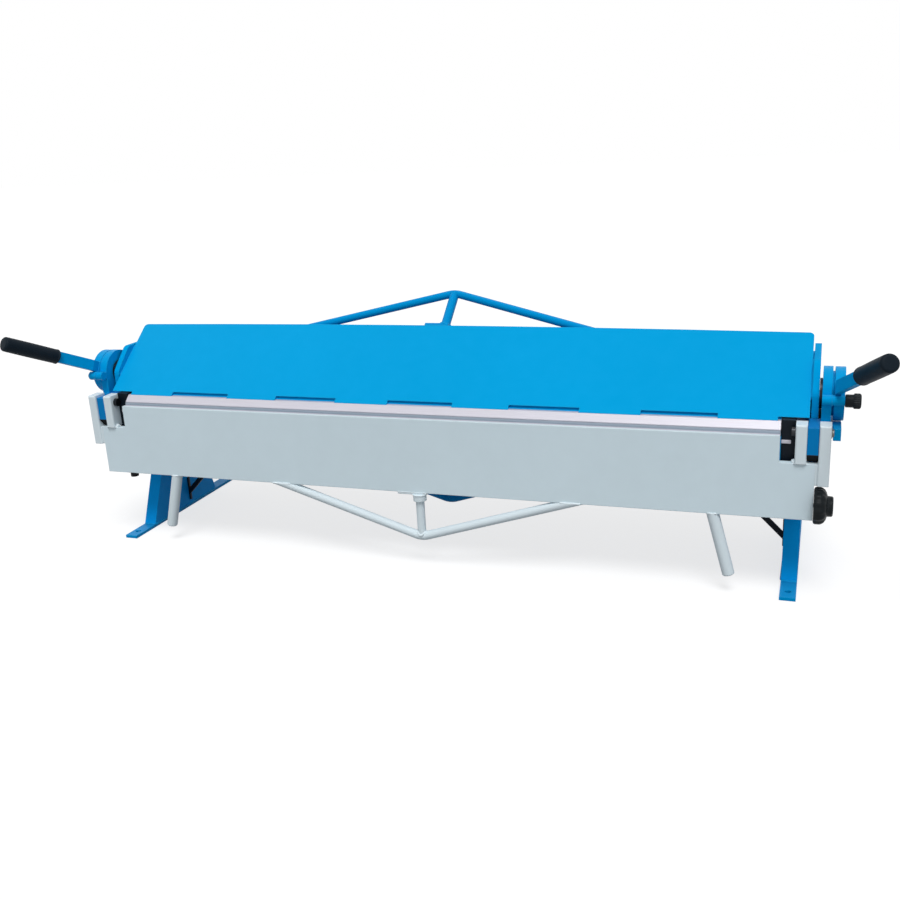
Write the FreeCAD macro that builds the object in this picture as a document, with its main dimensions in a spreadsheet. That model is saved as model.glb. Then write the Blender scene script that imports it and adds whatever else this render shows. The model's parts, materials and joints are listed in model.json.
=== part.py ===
import FreeCAD
import Part
import Sketcher
import math
import os
import re

# Sheet metal folder, in millimetres
# X runs along the bend line, Y points to the rear, and Z = 0 is the floor.
# The origin is midway between the four bolt holes of the feet.

SIZES = {
    # Place of the bend line
    "bend_height": 292,
    "bend_before_hole": 9,
    "working_length": 1270,
    # Feet and legs
    "foot_hole_spacing_x": 1316,
    "foot_hole_spacing_y": 350,
    "foot_hole_radius": 5.5,
    "foot_overhang": 25,
    "foot_width": 27,
    "foot_thickness": 6,
    "leg_plate": 5.5,
    "leg_toe": 40,
    "leg_front_lean": 24.2,
    "leg_heel": 63.5,
    "leg_rear_lean": 19.3,
    "brace_setback": 188,
    "brace_height": 26,
    "brace_width": 10,
    "brace_thickness": 5,
    "cleat_low": 16,
    "cleat_width": 4,
    "cleat_height": 52,
    # Bed
    "bed_gap": 0.3,
    "bed_blade_depth": 60,
    "bed_blade_thickness": 12,
    "bed_plate_depth": 282,
    "bed_beam_front": 4,
    "bed_beam_depth": 80,
    "rear_beam_front": 150,
    "rear_beam_depth": 110,
    "beam_height": 50,
    "beam_wall": 6,
    "end_block_gap": 1,
    "end_block_width": 22,
    "end_block_front": 9,
    "end_block_upstand": 16.5,
    "end_block_step": 33,
    "end_block_joggle": 26,
    # Side plates, hinge blocks and brackets
    "side_plate_gap": 0.8,
    "side_plate_thickness": 15,
    "side_plate_front": 26,
    "side_plate_rear": 250,
    "lobe_radius": 45,
    "hinge_block_width": 17.4,
    "hinge_block_front": 12,
    "hinge_block_top": 10,
    "hinge_block_bottom": 48,
    "hinge_block_chamfer": 12,
    "hinge_heel_gap": 3,
    "hinge_heel_bottom": 56,
    "hinge_block_face": 35,
    "end_plate_to_block_gap": 1.5,
    "bracket_gap": 4.5,
    "bracket_width": 12,
    "bracket_front": 8,
    "bracket_rear": 52,
    "bracket_top": 4.6,
    "bracket_bottom": 15,
    "bracket_root": 28,
    "rail_rear": 240,
    "rail_top": 2,
    # Hinge pins
    "pin_radius": 6,
    "pin_head_radius": 8,
    "pin_head_length": 6.5,
    "pin_tail": 3.5,
    "running_clearance": 0.05,
    "side_clearance": 0.4,
    "trim_margin": 20,
    # Apron
    "apron_thickness": 12,
    "apron_height": 146.5,
    "apron_drop": 5,
    "notch_depth": 50,
    "lug_offset": 23.5,
    "lug_width": 18,
    "lug_front": 16,
    "lug_back": 14,
    "lug_top": 15,
    "lug_edge_radius": 3,
    "bar_pad_thickness": 4,
    "bar_width": 18,
    "bar_reach": 86,
    "apron_blade_thickness": 6,
    "apron_blade_height": 30,
    "apron_truss_drop": 89,
    "apron_truss_half": 288,
    "apron_truss_radius": 8.4,
    "truss_bend_radius": 40,
    "post_pad_half": 28.5,
    "pad_offset": 13,
    "post_pad_thickness": 4,
    "post_boss_radius": 12.5,
    "post_boss_height": 12,
    "post_radius": 8,
    "handle_offset": 531,
    "handle_setback": 3,
    "handle_splay": 14.75,
    "handle_length": 116,
    "handle_radius": 10.5,
    "handle_end_radius": 3,
    "bumper_offset": 633,
    "bumper_radius": 8,
    "bumper_length": 8,
    "angle_knob_drop": 122,
    "angle_knob_radius": 31,
    "angle_knob_thickness": 21,
    "angle_knob_hub_radius": 17,
    "angle_knob_hub_length": 9.5,
    "angle_knob_rounding": 9,
    "knob_stud_radius": 3.5,
    "knob_stud_length": 14,
    "knob_gap": 0.3,
    # Clamping beam
    "clamp_angle": 38.9,
    "clamp_foot": 14,
    "clamp_foot_height": 12.9,
    "clamp_plate_width": 187.5,
    "clamp_crown": 6,
    "clamp_plate_thickness": 5,
    "clamp_plate_gap": 2,
    "clamp_corner_radius": 8,
    "clamp_back": 128,
    "clamp_back_thickness": 8,
    "end_rise": 5,
    "end_rise_inset": 5.5,
    "end_toe_cut": 24,
    "slot_pitch": 234.8,
    "slot_half_length": 63.9,
    "slot_height": 6.5,
    "jaw_gap": 0.2,
    "clamp_blade_setback": 0.5,
    "clamp_blade_land": 1.5,
    "clamp_blade_depth": 62,
    "end_plate_thickness": 11,
    "end_plate_gap": 4.5,
    "end_plate_front": 50,
    "end_plate_bottom": 9.5,
    "end_plate_shoulder": 51.5,
    "end_plate_top": 96.5,
    "end_plate_rear_slope": 20,
    "end_plate_corner_radius": 18,
    "pivot_setback": 258,
    "pivot_height": 51.5,
    "pivot_radius": 10,
    "pivot_boss_radius": 26,
    "pivot_bracket_width": 16,
    "clamp_truss_apex": 287.3,
    "clamp_truss_foot_gap": 6.6,
    "clamp_truss_half": 420,
    "clamp_truss_radius": 7.7,
    "clamp_post_radius": 9,
    "clamp_boss_radius": 12.5,
    "clamp_boss_length": 10,
    "clamp_pad_half": 24.5,
    "clamp_pad_thickness": 6,
    # Bed truss
    "bed_truss_setback": 158,
    "bed_truss_drop": 157,
    "bed_truss_half": 510,
    # Levers and eccentric shafts
    "lever_setback": 76,
    "lever_height": 46.5,
    "lever_tilt": 25.3,
    "lever_throw": 13,
    "crank_pin_radius": 7,
    "journal_radius": 22,
    "collar_radius": 25,
    "spigot_radius": 12.5,
    "disc_gap": 3.5,
    "disc_radius": 44.5,
    "disc_thickness": 16,
    "disc_boss_radius": 37,
    "arm_height": 22,
    "arm_thickness": 9,
    "arm_drop": 1.7,
    "arm_offset": 5.6,
    "arm_bend": 60,
    "arm_root": 34,
    "arm_splay": 19.15,
    "arm_length": 96,
    "grip_start": 79.5,
    "grip_length": 113.5,
    "grip_radius": 14.8,
    "grip_end_radius": 5,
    "stop_radius": 8.5,
    "stop_clearance": 0.3,
    "stop_distance": 54,
    "stop_end_radius": 3,
    "stop_seat_height": 12,
    "stop_knob_neck_radius": 10.5,
    "stop_knob_neck_length": 12.5,
    "stop_knob_radius": 12.5,
    "stop_knob_length": 11.5,
    "slot_front_spare": 1,
    "slot_lower_spare": 5.5,
    "slot_upper_spare": 0.6,
    # Screws and bolts
    "screw_pitch": 196,
    "screw_radius": 3.5,
    "screw_head_radius": 6.5,
    "screw_head_height": 3,
    "screw_sink": 0.4,
    "bolt_radius": 4,
    "bolt_head_radius": 7.5,
    "bolt_head_height": 4,
    "lower_bolt_drop": 27,
    "upper_bolt_drop": 6,
    "hinge_bolt_setback": 35,
}

# Places that follow from the sizes, each written as a formula
PLACES = {
    "bend_y": "-(foot_hole_spacing_y / 2 + bend_before_hole)",
    "half_work": "working_length / 2",
    "lug_inner": "half_work + lug_offset",
    "block_inner": "lug_inner + lug_width + side_clearance",
    "block_outer": "block_inner + hinge_block_width",
    "bar_inner": "block_outer + side_clearance",
    "bar_outer": "bar_inner + bar_width",
    "apron_end": "bar_inner - bar_pad_thickness",
    "side_inner": "bar_inner + side_plate_gap",
    "side_outer": "side_inner + side_plate_thickness",
    "disc_inner": "side_outer + disc_gap",
    "disc_outer": "disc_inner + disc_thickness",
    "bracket_outer": "side_outer + bracket_gap + bracket_width",
    "bolt_y": "bend_y + hinge_bolt_setback",
    "end_plate_outer": "side_inner - end_plate_gap",
    "end_plate_inner": "end_plate_outer - end_plate_thickness",
    "clamp_half": "end_plate_inner - clamp_plate_gap",
    "end_block_inner": "half_work + end_block_gap",
    "end_block_outer": "end_block_inner + end_block_width",
    "beam_top": "bend_height - bed_blade_thickness",
    "beam_bottom": "beam_top - beam_height",
    "foot_inner": "foot_hole_spacing_x / 2 - foot_width / 2",
    "foot_outer": "foot_hole_spacing_x / 2 + foot_width / 2",
    "foot_front": "-(foot_hole_spacing_y / 2 + foot_overhang)",
    "foot_rear": "foot_hole_spacing_y / 2 + foot_overhang",
    "leg_front": "-foot_hole_spacing_y / 2 + leg_toe",
    "leg_rear": "foot_hole_spacing_y / 2 - leg_heel",
    "lever_y": "bend_y + lever_setback",
    "lever_z": "bend_height + lever_height",
    "pivot_y": "bend_y + pivot_setback",
    "pivot_z": "bend_height + pivot_height",
    "arm_x": "disc_inner + arm_offset",
    "arm_reach": "arm_height / 2 + stop_radius + stop_clearance + arm_drop",
    "stop_y": "lever_y - stop_distance",
    "stop_z": "lever_z + stop_distance * tan(lever_tilt) - arm_reach / cos(lever_tilt)",
    "apron_top": "bend_height - apron_drop",
    "apron_bottom": "bend_height - apron_height",
    "apron_middle": "bend_y - apron_thickness / 2",
    "clamp_low": "clamp_foot_height + jaw_gap",
    "clamp_top": "clamp_plate_width + clamp_crown",
    "truss_plane": "clamp_plate_thickness + clamp_truss_radius",
    "truss_foot": "(clamp_back - clamp_foot) / cos(clamp_angle) + clamp_truss_foot_gap",
    "block_rear": "bend_y + end_plate_front - end_plate_to_block_gap",
}

document = FreeCAD.newDocument("SheetMetalFolder")
sheet = document.addObject("Spreadsheet::Sheet", "Sizes")
for row, (size_name, size_value) in enumerate(SIZES.items(), start=1):
    sheet.set(f"A{row}", size_name)
    sheet.set(f"B{row}", str(size_value))
    sheet.setAlias(f"B{row}", size_name)
document.recompute()

parts = []


def formula(text):
    """Write out the places in a formula and point its sizes at the sheet."""
    def replace(match):
        word = match.group()
        if word in PLACES:
            return "(" + formula(PLACES[word]) + ")"
        if word in SIZES:
            return "Sizes." + word
        return word
    return re.sub(r"[a-z][a-z_]*", replace, text)


def number(text):
    """The present value of a formula."""
    result = sheet.evalExpression(formula(text))
    return float(getattr(result, "Value", result))


def bind(item, field, text):
    item.setExpression(field, formula(text))


def add(kind, name):
    item = document.addObject(kind, name)
    item.Label = name
    return item


def keep(item, name):
    """Name a finished sub-part, so that it is written to its own file."""
    item.Label = name
    parts.append(item)
    return item


def rear(text):
    """Y of a point a distance behind the bend line."""
    return f"bend_y + ({text})"


def up(text):
    """Z of a point a distance above the bend line."""
    return f"bend_height + ({text})"


TURNS = {
    "X": "rotation(vector(0; 1; 0); 90)",
    "-X": "rotation(vector(0; 1; 0); -90)",
    "Y": "rotation(vector(1; 0; 0); -90)",
    "Z": "rotation(vector(0; 0; 1); 0)",
    "-Z": "rotation(vector(1; 0; 0); 180)",
}


def place(item, x="0", y="0", z="0", turn=TURNS["Z"]):
    """Put an item at a point, with its own Z axis turned as TURNS says."""
    bind(item, "Placement", f"placement(vector({x}; {y}; {z}); {turn})")


def box(name, x, y, z):
    """A block between pairs of formulas on each axis."""
    item = add("Part::Box", name)
    for field, (low, high) in zip(("Length", "Width", "Height"), (x, y, z)):
        bind(item, field, f"({high}) - ({low})")
    place(item, x[0], y[0], z[0])
    return item


def cylinder(name, radius, length, x="0", y="0", z="0", turn=TURNS["X"]):
    item = add("Part::Cylinder", name)
    bind(item, "Radius", radius)
    bind(item, "Height", length)
    place(item, x, y, z, turn)
    return item


def fuse(name, *items):
    result = add("Part::MultiFuse", name)
    result.Shapes = list(items)
    result.Refine = True
    return result


def cut(name, base, *tools):
    result = add("Part::Cut", name)
    result.Base = base
    result.Tool = tools[0] if len(tools) == 1 else group(name + "_tools", *tools)
    return result


def group(name, *items):
    result = add("Part::Compound", name)
    result.Links = list(items)
    return result


def mirrored(item, name):
    """The same piece at the left end."""
    result = add("Part::Mirroring", name)
    result.Source = item
    result.Normal = FreeCAD.Vector(1, 0, 0)
    return result


def keep_both(item, name):
    keep(item, "right_" + name)
    left = keep(mirrored(item, "left_" + name), "left_" + name)
    return item, left


def new_sketch(body, role, offset="0"):
    plane = next(item for item in body.Origin.OriginFeatures if item.Role == role)
    sketch = body.newObject("Sketcher::SketchObject", body.Name + "_sketch")
    sketch.AttachmentSupport = [(plane, "")]
    sketch.MapMode = "FlatFace"
    bind(sketch, "AttachmentOffset.Base.z", offset)
    return sketch


def fix(sketch, geometry, point, x, y=None):
    """Hold one point of a sketch at a formula for X, and one for Y if given."""
    for kind, text in (("DistanceX", x), ("DistanceY", y)):
        if text is None:
            continue
        limit = Sketcher.Constraint(kind, -1, 1, geometry, point, number(text))
        index = sketch.addConstraint(limit)
        bind(sketch, f"Constraints[{index}]", text)


def spot(x, y):
    return FreeCAD.Vector(number(x), number(y), 0)


def draw_outline(sketch, outline):
    """A closed outline of straight lines through points given as formulas."""
    first = sketch.GeometryCount
    ends = outline[1:] + outline[:1]
    for start, end in zip(outline, ends):
        sketch.addGeometry(Part.LineSegment(spot(*start), spot(*end)), False)
    last = sketch.GeometryCount - 1
    for index in range(first, last + 1):
        following = index + 1 if index < last else first
        sketch.addConstraint(Sketcher.Constraint("Coincident", index, 2, following, 1))
    for index, (x, y) in enumerate(outline):
        fix(sketch, first + index, 1, x, y)


def draw_circle(sketch, x, y, radius):
    normal = FreeCAD.Vector(0, 0, 1)
    index = sketch.addGeometry(Part.Circle(spot(x, y), normal, number(radius)), False)
    fix(sketch, index, 3, x, y)
    limit = sketch.addConstraint(Sketcher.Constraint("Radius", index, number(radius)))
    bind(sketch, f"Constraints[{limit}]", radius)


def rectangle(x, y):
    return [(x[0], y[0]), (x[1], y[0]), (x[1], y[1]), (x[0], y[1])]


def pad(body, role, low, high, outline=None, circles=()):
    """Add a flat piece between two places on the axis that its plane faces."""
    faces_back = role == "XZ_Plane"
    sketch = new_sketch(body, role, f"-({high})" if faces_back else low)
    if outline:
        draw_outline(sketch, outline)
    for circle in circles:
        draw_circle(sketch, *circle)
    feature = body.newObject("PartDesign::Pad", body.Name + "_pad")
    feature.Profile = sketch
    bind(feature, "Length", f"({high}) - ({low})")
    return feature


def pocket(body, role, low, high, outlines=(), circles=()):
    """Cut a flat piece out between two places on the axis that its plane faces."""
    before = body.Shape.Volume
    faces_back = role == "XZ_Plane"
    sketch = new_sketch(body, role, f"-({low})" if faces_back else high)
    for outline in outlines:
        draw_outline(sketch, outline)
    for circle in circles:
        draw_circle(sketch, *circle)
    feature = body.newObject("PartDesign::Pocket", body.Name + "_pocket")
    feature.Profile = sketch
    bind(feature, "Length", f"({high}) - ({low})")
    document.recompute()
    if body.Shape.Volume >= before:
        raise RuntimeError(f"{feature.Label} cuts nothing")
    return feature


def flat_piece(name, role, low, high, outline, circles=()):
    body = add("PartDesign::Body", name)
    pad(body, role, low, high, outline, circles)
    document.recompute()
    return body


def turned_piece(name, profile, x="0", y="0", z="0", turn=TURNS["X"]):
    """A piece turned about its own Z axis from points (radius, distance along)."""
    body = add("PartDesign::Body", name)
    sketch = new_sketch(body, "XZ_Plane")
    draw_outline(sketch, profile)
    feature = body.newObject("PartDesign::Revolution", name + "_turned")
    feature.Profile = sketch
    feature.ReferenceAxis = (sketch, ["V_Axis"])
    feature.Angle = 360
    place(body, x, y, z, turn)
    document.recompute()
    return body


def round_edges(body, radius, wanted):
    """Round those edges of a body that the test wanted picks."""
    base = body.Tip
    names = [f"Edge{index}" for index, edge in enumerate(base.Shape.Edges, start=1)
             if wanted(edge)]
    feature = body.newObject("PartDesign::Fillet", body.Name + "_rounding")
    feature.Base = (base, names)
    bind(feature, "Radius", radius)
    document.recompute()
    return feature


def near(first, second):
    return abs(first - second) < 0.01


def along(edge, axis):
    """Whether a straight edge runs along one axis, 0 to 2 for X to Z."""
    if len(edge.Vertexes) != 2:
        return False
    step = edge.Vertexes[1].Point - edge.Vertexes[0].Point
    return all(near(step[other], 0) for other in range(3) if other != axis)


def bent_tube(name, radius, slope, reach, y, z, turn=TURNS["Z"]):
    """Half of a truss rod in its own XZ plane, from the rounded apex outward.

    The point at y, z is where the two straight runs would meet.
    """
    body = add("PartDesign::Body", name)
    centre = f"truss_bend_radius / cos({slope})"
    bend_end = (f"truss_bend_radius * sin({slope})",
                f"{centre} - truss_bend_radius * cos({slope})")
    path = new_sketch(body, "XZ_Plane")
    middle = spot("0", centre)
    circle = Part.Circle(middle, FreeCAD.Vector(0, 0, 1), number("truss_bend_radius"))
    start_angle = math.radians(-90)
    end_angle = math.radians(number(slope) - 90)
    path.addGeometry(Part.ArcOfCircle(circle, start_angle, end_angle), False)
    end = (reach, f"({reach}) * tan({slope})")
    path.addGeometry(Part.LineSegment(spot(*bend_end), spot(*end)), False)
    fix(path, 0, 3, "0", centre)
    fix(path, 0, 1, "0", f"{centre} - truss_bend_radius")
    path.addConstraint(Sketcher.Constraint("Coincident", 0, 2, 1, 1))
    fix(path, 1, 1, bend_end[0])
    fix(path, 1, 2, *end)
    section = new_sketch(body, "YZ_Plane")
    draw_circle(section, "0", f"{centre} - truss_bend_radius", radius)
    pipe = body.newObject("PartDesign::AdditivePipe", name + "_pipe")
    pipe.Profile = section
    pipe.Spine = (path, ["Edge1", "Edge2"])
    place(body, "0", y, z, turn)
    document.recompute()
    return body


def countersunk_row(name, y, z, length, turn):
    """A row of countersunk screws along X; y and z are those of the heads."""
    half = int(number("half_work / screw_pitch"))
    screws = []
    for place_in_row in range(-half, half + 1):
        screw = turned_piece(
            f"{name}_{place_in_row + half + 1}",
            [("0", "0"), ("screw_head_radius", "0"),
             ("screw_radius", "-screw_head_height"),
             ("screw_radius", f"-({length})"), ("0", f"-({length})")],
            f"{place_in_row} * screw_pitch", y, z, turn)
        screws.append(screw)
    return group(name, *screws)


def frame_bolt(name, face, drop):
    """A countersunk bolt from an outer face of the frame in to the hinge block."""
    length = f"{face} - (block_inner + side_clearance)"
    return turned_piece(
        name,
        [("0", "0"), ("bolt_head_radius", "0"), ("bolt_radius", "-bolt_head_height"),
         ("bolt_radius", f"-({length})"), ("0", f"-({length})")],
        face, "bolt_y", up("-" + drop))


def make_bed():
    """The ground bed blade on its beams, and the flat bed behind it."""
    beam_half = "end_block_inner"
    screws = countersunk_row(
        "bed_blade_screws", rear("bed_blade_depth / 2"), up("-screw_sink"),
        "bed_blade_thickness + beam_wall - screw_sink", TURNS["Z"])
    keep(screws, "bed_blade_screws")
    blade = box("bed_blade_blank", ("-half_work", "half_work"),
                (rear("bed_gap"), rear("bed_blade_depth")), ("beam_top", "bend_height"))
    keep(cut("bed_blade", blade, screws), "bed_blade")
    plate = box("bed_plate", ("-side_inner", "side_inner"),
                (rear("bed_blade_depth"), rear("bed_plate_depth")),
                ("beam_top", "bend_height"))
    keep(plate, "bed_plate")
    front = hollow_beam("bed_beam", beam_half, "bed_beam_front", "bed_beam_depth")
    keep(cut("bed_beam", front, screws), "bed_beam")
    back = hollow_beam("rear_beam", "side_inner", "rear_beam_front", "rear_beam_depth")
    keep(back, "rear_beam")


def hollow_beam(name, half, front, depth):
    outside = box(name + "_outside", (f"-({half})", half),
                  (rear(front), rear(f"{front} + {depth}")), ("beam_bottom", "beam_top"))
    inside = box(name + "_inside", (f"-({half})", half),
                 (rear(f"{front} + beam_wall"), rear(f"{front} + {depth} - beam_wall")),
                 ("beam_bottom + beam_wall", "beam_top - beam_wall"))
    return cut(name + "_tube", outside, inside)


def make_end_blocks():
    """Black blocks that close the bed beam and tie it to the side plates."""
    rear_face = rear("bed_beam_front + bed_beam_depth")
    block_clear = "block_rear + end_plate_to_block_gap"
    outline = [
        ("end_block_inner", rear("end_block_front")),
        ("end_block_outer", rear("end_block_front")),
        ("end_block_outer", rear("end_block_joggle")),
        ("block_inner - end_plate_to_block_gap", rear("end_block_joggle")),
        ("block_inner - end_plate_to_block_gap", block_clear),
        ("side_inner", block_clear),
        ("side_inner", rear_face),
        ("end_block_inner", rear_face),
    ]
    body = flat_piece("end_block", "XY_Plane", "beam_bottom", "beam_top", outline)
    upstand = rectangle(("end_block_inner", "end_block_outer"),
                        (rear("end_block_front"), rear("end_block_step")))
    pad(body, "XY_Plane", "beam_top", up("end_block_upstand"), upstand)
    keep_both(body, "end_block")


def make_frame_bolts():
    """Bolts that hold the hinge blocks and brackets to the side plates."""
    bolts = [frame_bolt("lower_bolt", "side_outer", "lower_bolt_drop"),
             frame_bolt("upper_bolt", "bracket_outer", "upper_bolt_drop")]
    both_ends = bolts + [mirrored(bolt, bolt.Name + "_left") for bolt in bolts]
    keep(group("frame_bolts", *both_ends), "frame_bolts")
    return bolts


def make_side_plates(bolts):
    """Frame cheeks with the round lobe that holds the eccentric shaft."""
    outline = [
        (rear("side_plate_front"), "beam_bottom"),
        (rear("side_plate_rear"), "beam_bottom"),
        (rear("side_plate_rear"), "bend_height"),
        ("lever_y + lobe_radius", "bend_height"),
        ("lever_y + lobe_radius", "lever_z"),
        ("lever_y - lobe_radius", "lever_z"),
        ("lever_y - lobe_radius", up("hinge_block_top")),
        (rear("side_plate_front"), up("hinge_block_top")),
    ]
    body = flat_piece("side_plate_blank", "YZ_Plane", "side_inner", "side_outer", outline)
    pad(body, "YZ_Plane", "side_inner", "side_outer", None,
        [("lever_y", "lever_z", "lobe_radius")])
    nose = rectangle(("stop_y", "lever_y"), ("stop_z - stop_seat_height / 2",
                                             "stop_z + stop_seat_height / 2"))
    pad(body, "YZ_Plane", "side_inner", "side_outer", nose)
    document.recompute()
    pocket(body, "YZ_Plane", "side_inner", "side_outer", (),
           [("lever_y", "lever_z", "journal_radius + running_clearance")])
    pocket(body, "YZ_Plane", "side_inner", "side_outer", (),
           [("stop_y", "stop_z", "stop_radius")])
    keep_both(cut("side_plate", body, *bolts), "side_plate")


def make_hinge_blocks(bolts):
    """Blocks on the side plates in which the apron's hinge pins turn."""
    body = flat_piece(
        "hinge_block_blank", "YZ_Plane", "block_inner", "block_outer",
        [(rear("-hinge_block_front"), up("hinge_block_top")),
         (rear("-hinge_block_front"), up("-hinge_block_face")),
         (rear("hinge_block_chamfer - hinge_block_front"), up("-hinge_block_bottom")),
         (rear("hinge_heel_gap"), up("-hinge_block_bottom")),
         (rear("hinge_heel_gap"), up("-hinge_heel_bottom")),
         ("block_rear", up("-hinge_heel_bottom")), ("block_rear", up("hinge_block_top"))])
    pad(body, "YZ_Plane", "block_outer", "side_inner",
        rectangle((rear("side_plate_front"), "block_rear"),
                  (up("-hinge_heel_bottom"), up("hinge_block_top"))))
    document.recompute()
    pocket(body, "YZ_Plane", "block_inner", "side_inner", (),
           [("bend_y", "bend_height", "pin_radius + running_clearance")])
    keep_both(cut("hinge_block", body, *bolts), "hinge_block")


def make_brackets(bolts):
    """Outboard brackets beside the hinge pins, with a rail back along the side plate."""
    bracket_inner = "side_outer + bracket_gap"
    outline = [
        ("side_outer", rear("bracket_rear")),
        ("side_outer", rear("bracket_root")),
        (bracket_inner, rear("bracket_root")),
        (bracket_inner, rear("bracket_front")),
        ("bracket_outer", rear("bracket_front")),
        ("bracket_outer", rear("bracket_rear")),
    ]
    body = flat_piece("end_bracket_blank", "XY_Plane", up("-bracket_bottom"),
                      up("bracket_top"), outline)
    pad(body, "XY_Plane", up("-bracket_bottom"), up("-rail_top"),
        rectangle(("side_outer", "bracket_outer"), (rear("bracket_rear"), rear("rail_rear"))))
    document.recompute()
    keep_both(cut("end_bracket", body, *bolts), "end_bracket")


def make_stops():
    """Round bars that the levers rest on; the right one takes a knob's stud."""
    hole = "knob_stud_radius + running_clearance"
    reach = "disc_outer - side_inner"
    left = turned_piece(
        "left_stop",
        [("0", "0"), ("stop_radius", "0"), ("stop_radius", f"{reach} - stop_end_radius"),
         ("stop_radius - stop_end_radius", reach), ("0", reach)],
        "-side_inner", "stop_y", "stop_z", TURNS["-X"])
    right = turned_piece(
        "right_stop",
        [("0", "0"), ("stop_radius", "0"), ("stop_radius", reach), (hole, reach),
         (hole, f"{reach} - knob_stud_length - knob_gap"),
         ("0", f"{reach} - knob_stud_length - knob_gap")],
        "side_inner", "stop_y", "stop_z")
    keep(group("lever_stops", left, right), "lever_stops")
    neck = "stop_knob_neck_length"
    end = "stop_knob_neck_length + stop_knob_length"
    chamfer = "stop_knob_radius - stop_knob_neck_radius"
    knob = turned_piece(
        "stop_knob",
        [("0", "-knob_stud_length"), ("knob_stud_radius", "-knob_stud_length"),
         ("knob_stud_radius", "0"), ("stop_knob_neck_radius", "0"),
         ("stop_knob_neck_radius", neck), ("stop_knob_radius", neck),
         ("stop_knob_radius", f"{end} - ({chamfer})"),
         ("stop_knob_neck_radius", end), ("0", end)],
        "disc_outer + knob_gap", "stop_y", "stop_z")
    keep(knob, "stop_knob")


def make_legs():
    """Flat feet, and legs whose web and front flange are one folded plate."""
    foot = flat_piece(
        "foot", "XY_Plane", "0", "foot_thickness",
        rectangle(("foot_inner", "foot_outer"), ("foot_front", "foot_rear")),
        [("foot_hole_spacing_x / 2", "-foot_hole_spacing_y / 2", "foot_hole_radius"),
         ("foot_hole_spacing_x / 2", "foot_hole_spacing_y / 2", "foot_hole_radius")])
    keep_both(foot, "foot")
    front_low = "leg_front + foot_thickness * tan(leg_front_lean)"
    front_high = "leg_front + beam_bottom * tan(leg_front_lean)"
    rear_low = "leg_rear - foot_thickness * tan(leg_rear_lean)"
    rear_high = "leg_rear - beam_bottom * tan(leg_rear_lean)"
    flange = "leg_plate / cos(leg_front_lean)"
    web = [(front_low, "foot_thickness"), (rear_low, "foot_thickness"),
           (rear_high, "beam_bottom"), (front_high, "beam_bottom")]
    leg = flat_piece("leg", "YZ_Plane", "foot_inner", "foot_inner + leg_plate", web)
    face = [(front_low, "foot_thickness"), (f"{front_low} + {flange}", "foot_thickness"),
            (f"{front_high} + {flange}", "beam_bottom"), (front_high, "beam_bottom")]
    pad(leg, "YZ_Plane", "foot_inner", "foot_outer", face)
    document.recompute()
    keep_both(leg, "leg")


def make_braces():
    """Flat bars at 45 degrees from a cleat on each leg up to the rear beam."""
    front = rear("brace_setback - brace_thickness / 2")
    back = rear("brace_setback + brace_thickness / 2")
    slant = "brace_width * sqrt(2)"
    run = "beam_bottom - brace_height"
    outline = [
        ("foot_inner", "brace_height"),
        ("foot_inner", f"brace_height + {slant}"),
        (f"foot_inner - ({run} - {slant})", "beam_bottom"),
        (f"foot_inner - ({run})", "beam_bottom"),
    ]
    brace = flat_piece("brace_bar", "XZ_Plane", front, back, outline)
    pad(brace, "XZ_Plane", front, back,
        rectangle(("foot_inner - cleat_width", "foot_inner"),
                  ("cleat_low", "cleat_low + cleat_height")))
    document.recompute()
    keep_both(brace, "brace")


def make_pivots():
    """Brackets behind the bed, and the pins on which the clamping beam tilts."""
    inner = "end_plate_inner - knob_gap - pivot_bracket_width"
    outer = "end_plate_inner - knob_gap"
    foot_end = f"min(pivot_y + pivot_boss_radius; {rear('bed_plate_depth')})"
    outline = rectangle(("pivot_y - pivot_boss_radius", foot_end),
                        ("bend_height", "pivot_z"))
    body = flat_piece("pivot_bracket", "YZ_Plane", inner, outer, outline)
    pad(body, "YZ_Plane", inner, outer, None, [("pivot_y", "pivot_z", "pivot_boss_radius")])
    document.recompute()
    pocket(body, "YZ_Plane", inner, outer, (), [("pivot_y", "pivot_z", "pivot_radius")])
    keep_both(body, "pivot_bracket")
    pin = turned_piece(
        "pivot_pin",
        [("0", "0"), ("pivot_radius", "0"),
         ("pivot_radius", f"end_plate_outer + knob_gap - ({inner})"),
         ("0", f"end_plate_outer + knob_gap - ({inner})")],
        inner, "pivot_y", "pivot_z")
    pins = group("pivot_pins", pin, mirrored(pin, "left_pivot_pin"))
    keep(pins, "pivot_pins")


def trimmed(name, item, x, y, z):
    """Cut away what lies in a block, and keep the rest."""
    return cut(name, item, box(name + "_trim", x, y, z))


def make_bed_truss():
    """A bent rod and a post that keep the bed straight from below."""
    slope = "atan(bed_truss_drop / bed_truss_half)"
    plane = rear("bed_truss_setback")
    radius = "apron_truss_radius"
    apex = "beam_bottom - bed_truss_drop"
    tube = bent_tube("bed_truss_rod", radius, slope, "bed_truss_half + 2 * trim_margin",
                     plane, apex)
    right = trimmed("bed_truss", tube, ("0", "half_work"),
                    (f"{plane} - trim_margin", f"{plane} + trim_margin"),
                    ("beam_bottom", "bend_height"))
    right, left = keep_both(right, "bed_truss")
    post = cylinder("bed_truss_rod_post", "post_radius", "bed_truss_drop",
                    "0", plane, apex, TURNS["Z"])
    keep(cut("bed_truss_post", post, right, left), "bed_truss_post")


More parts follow.
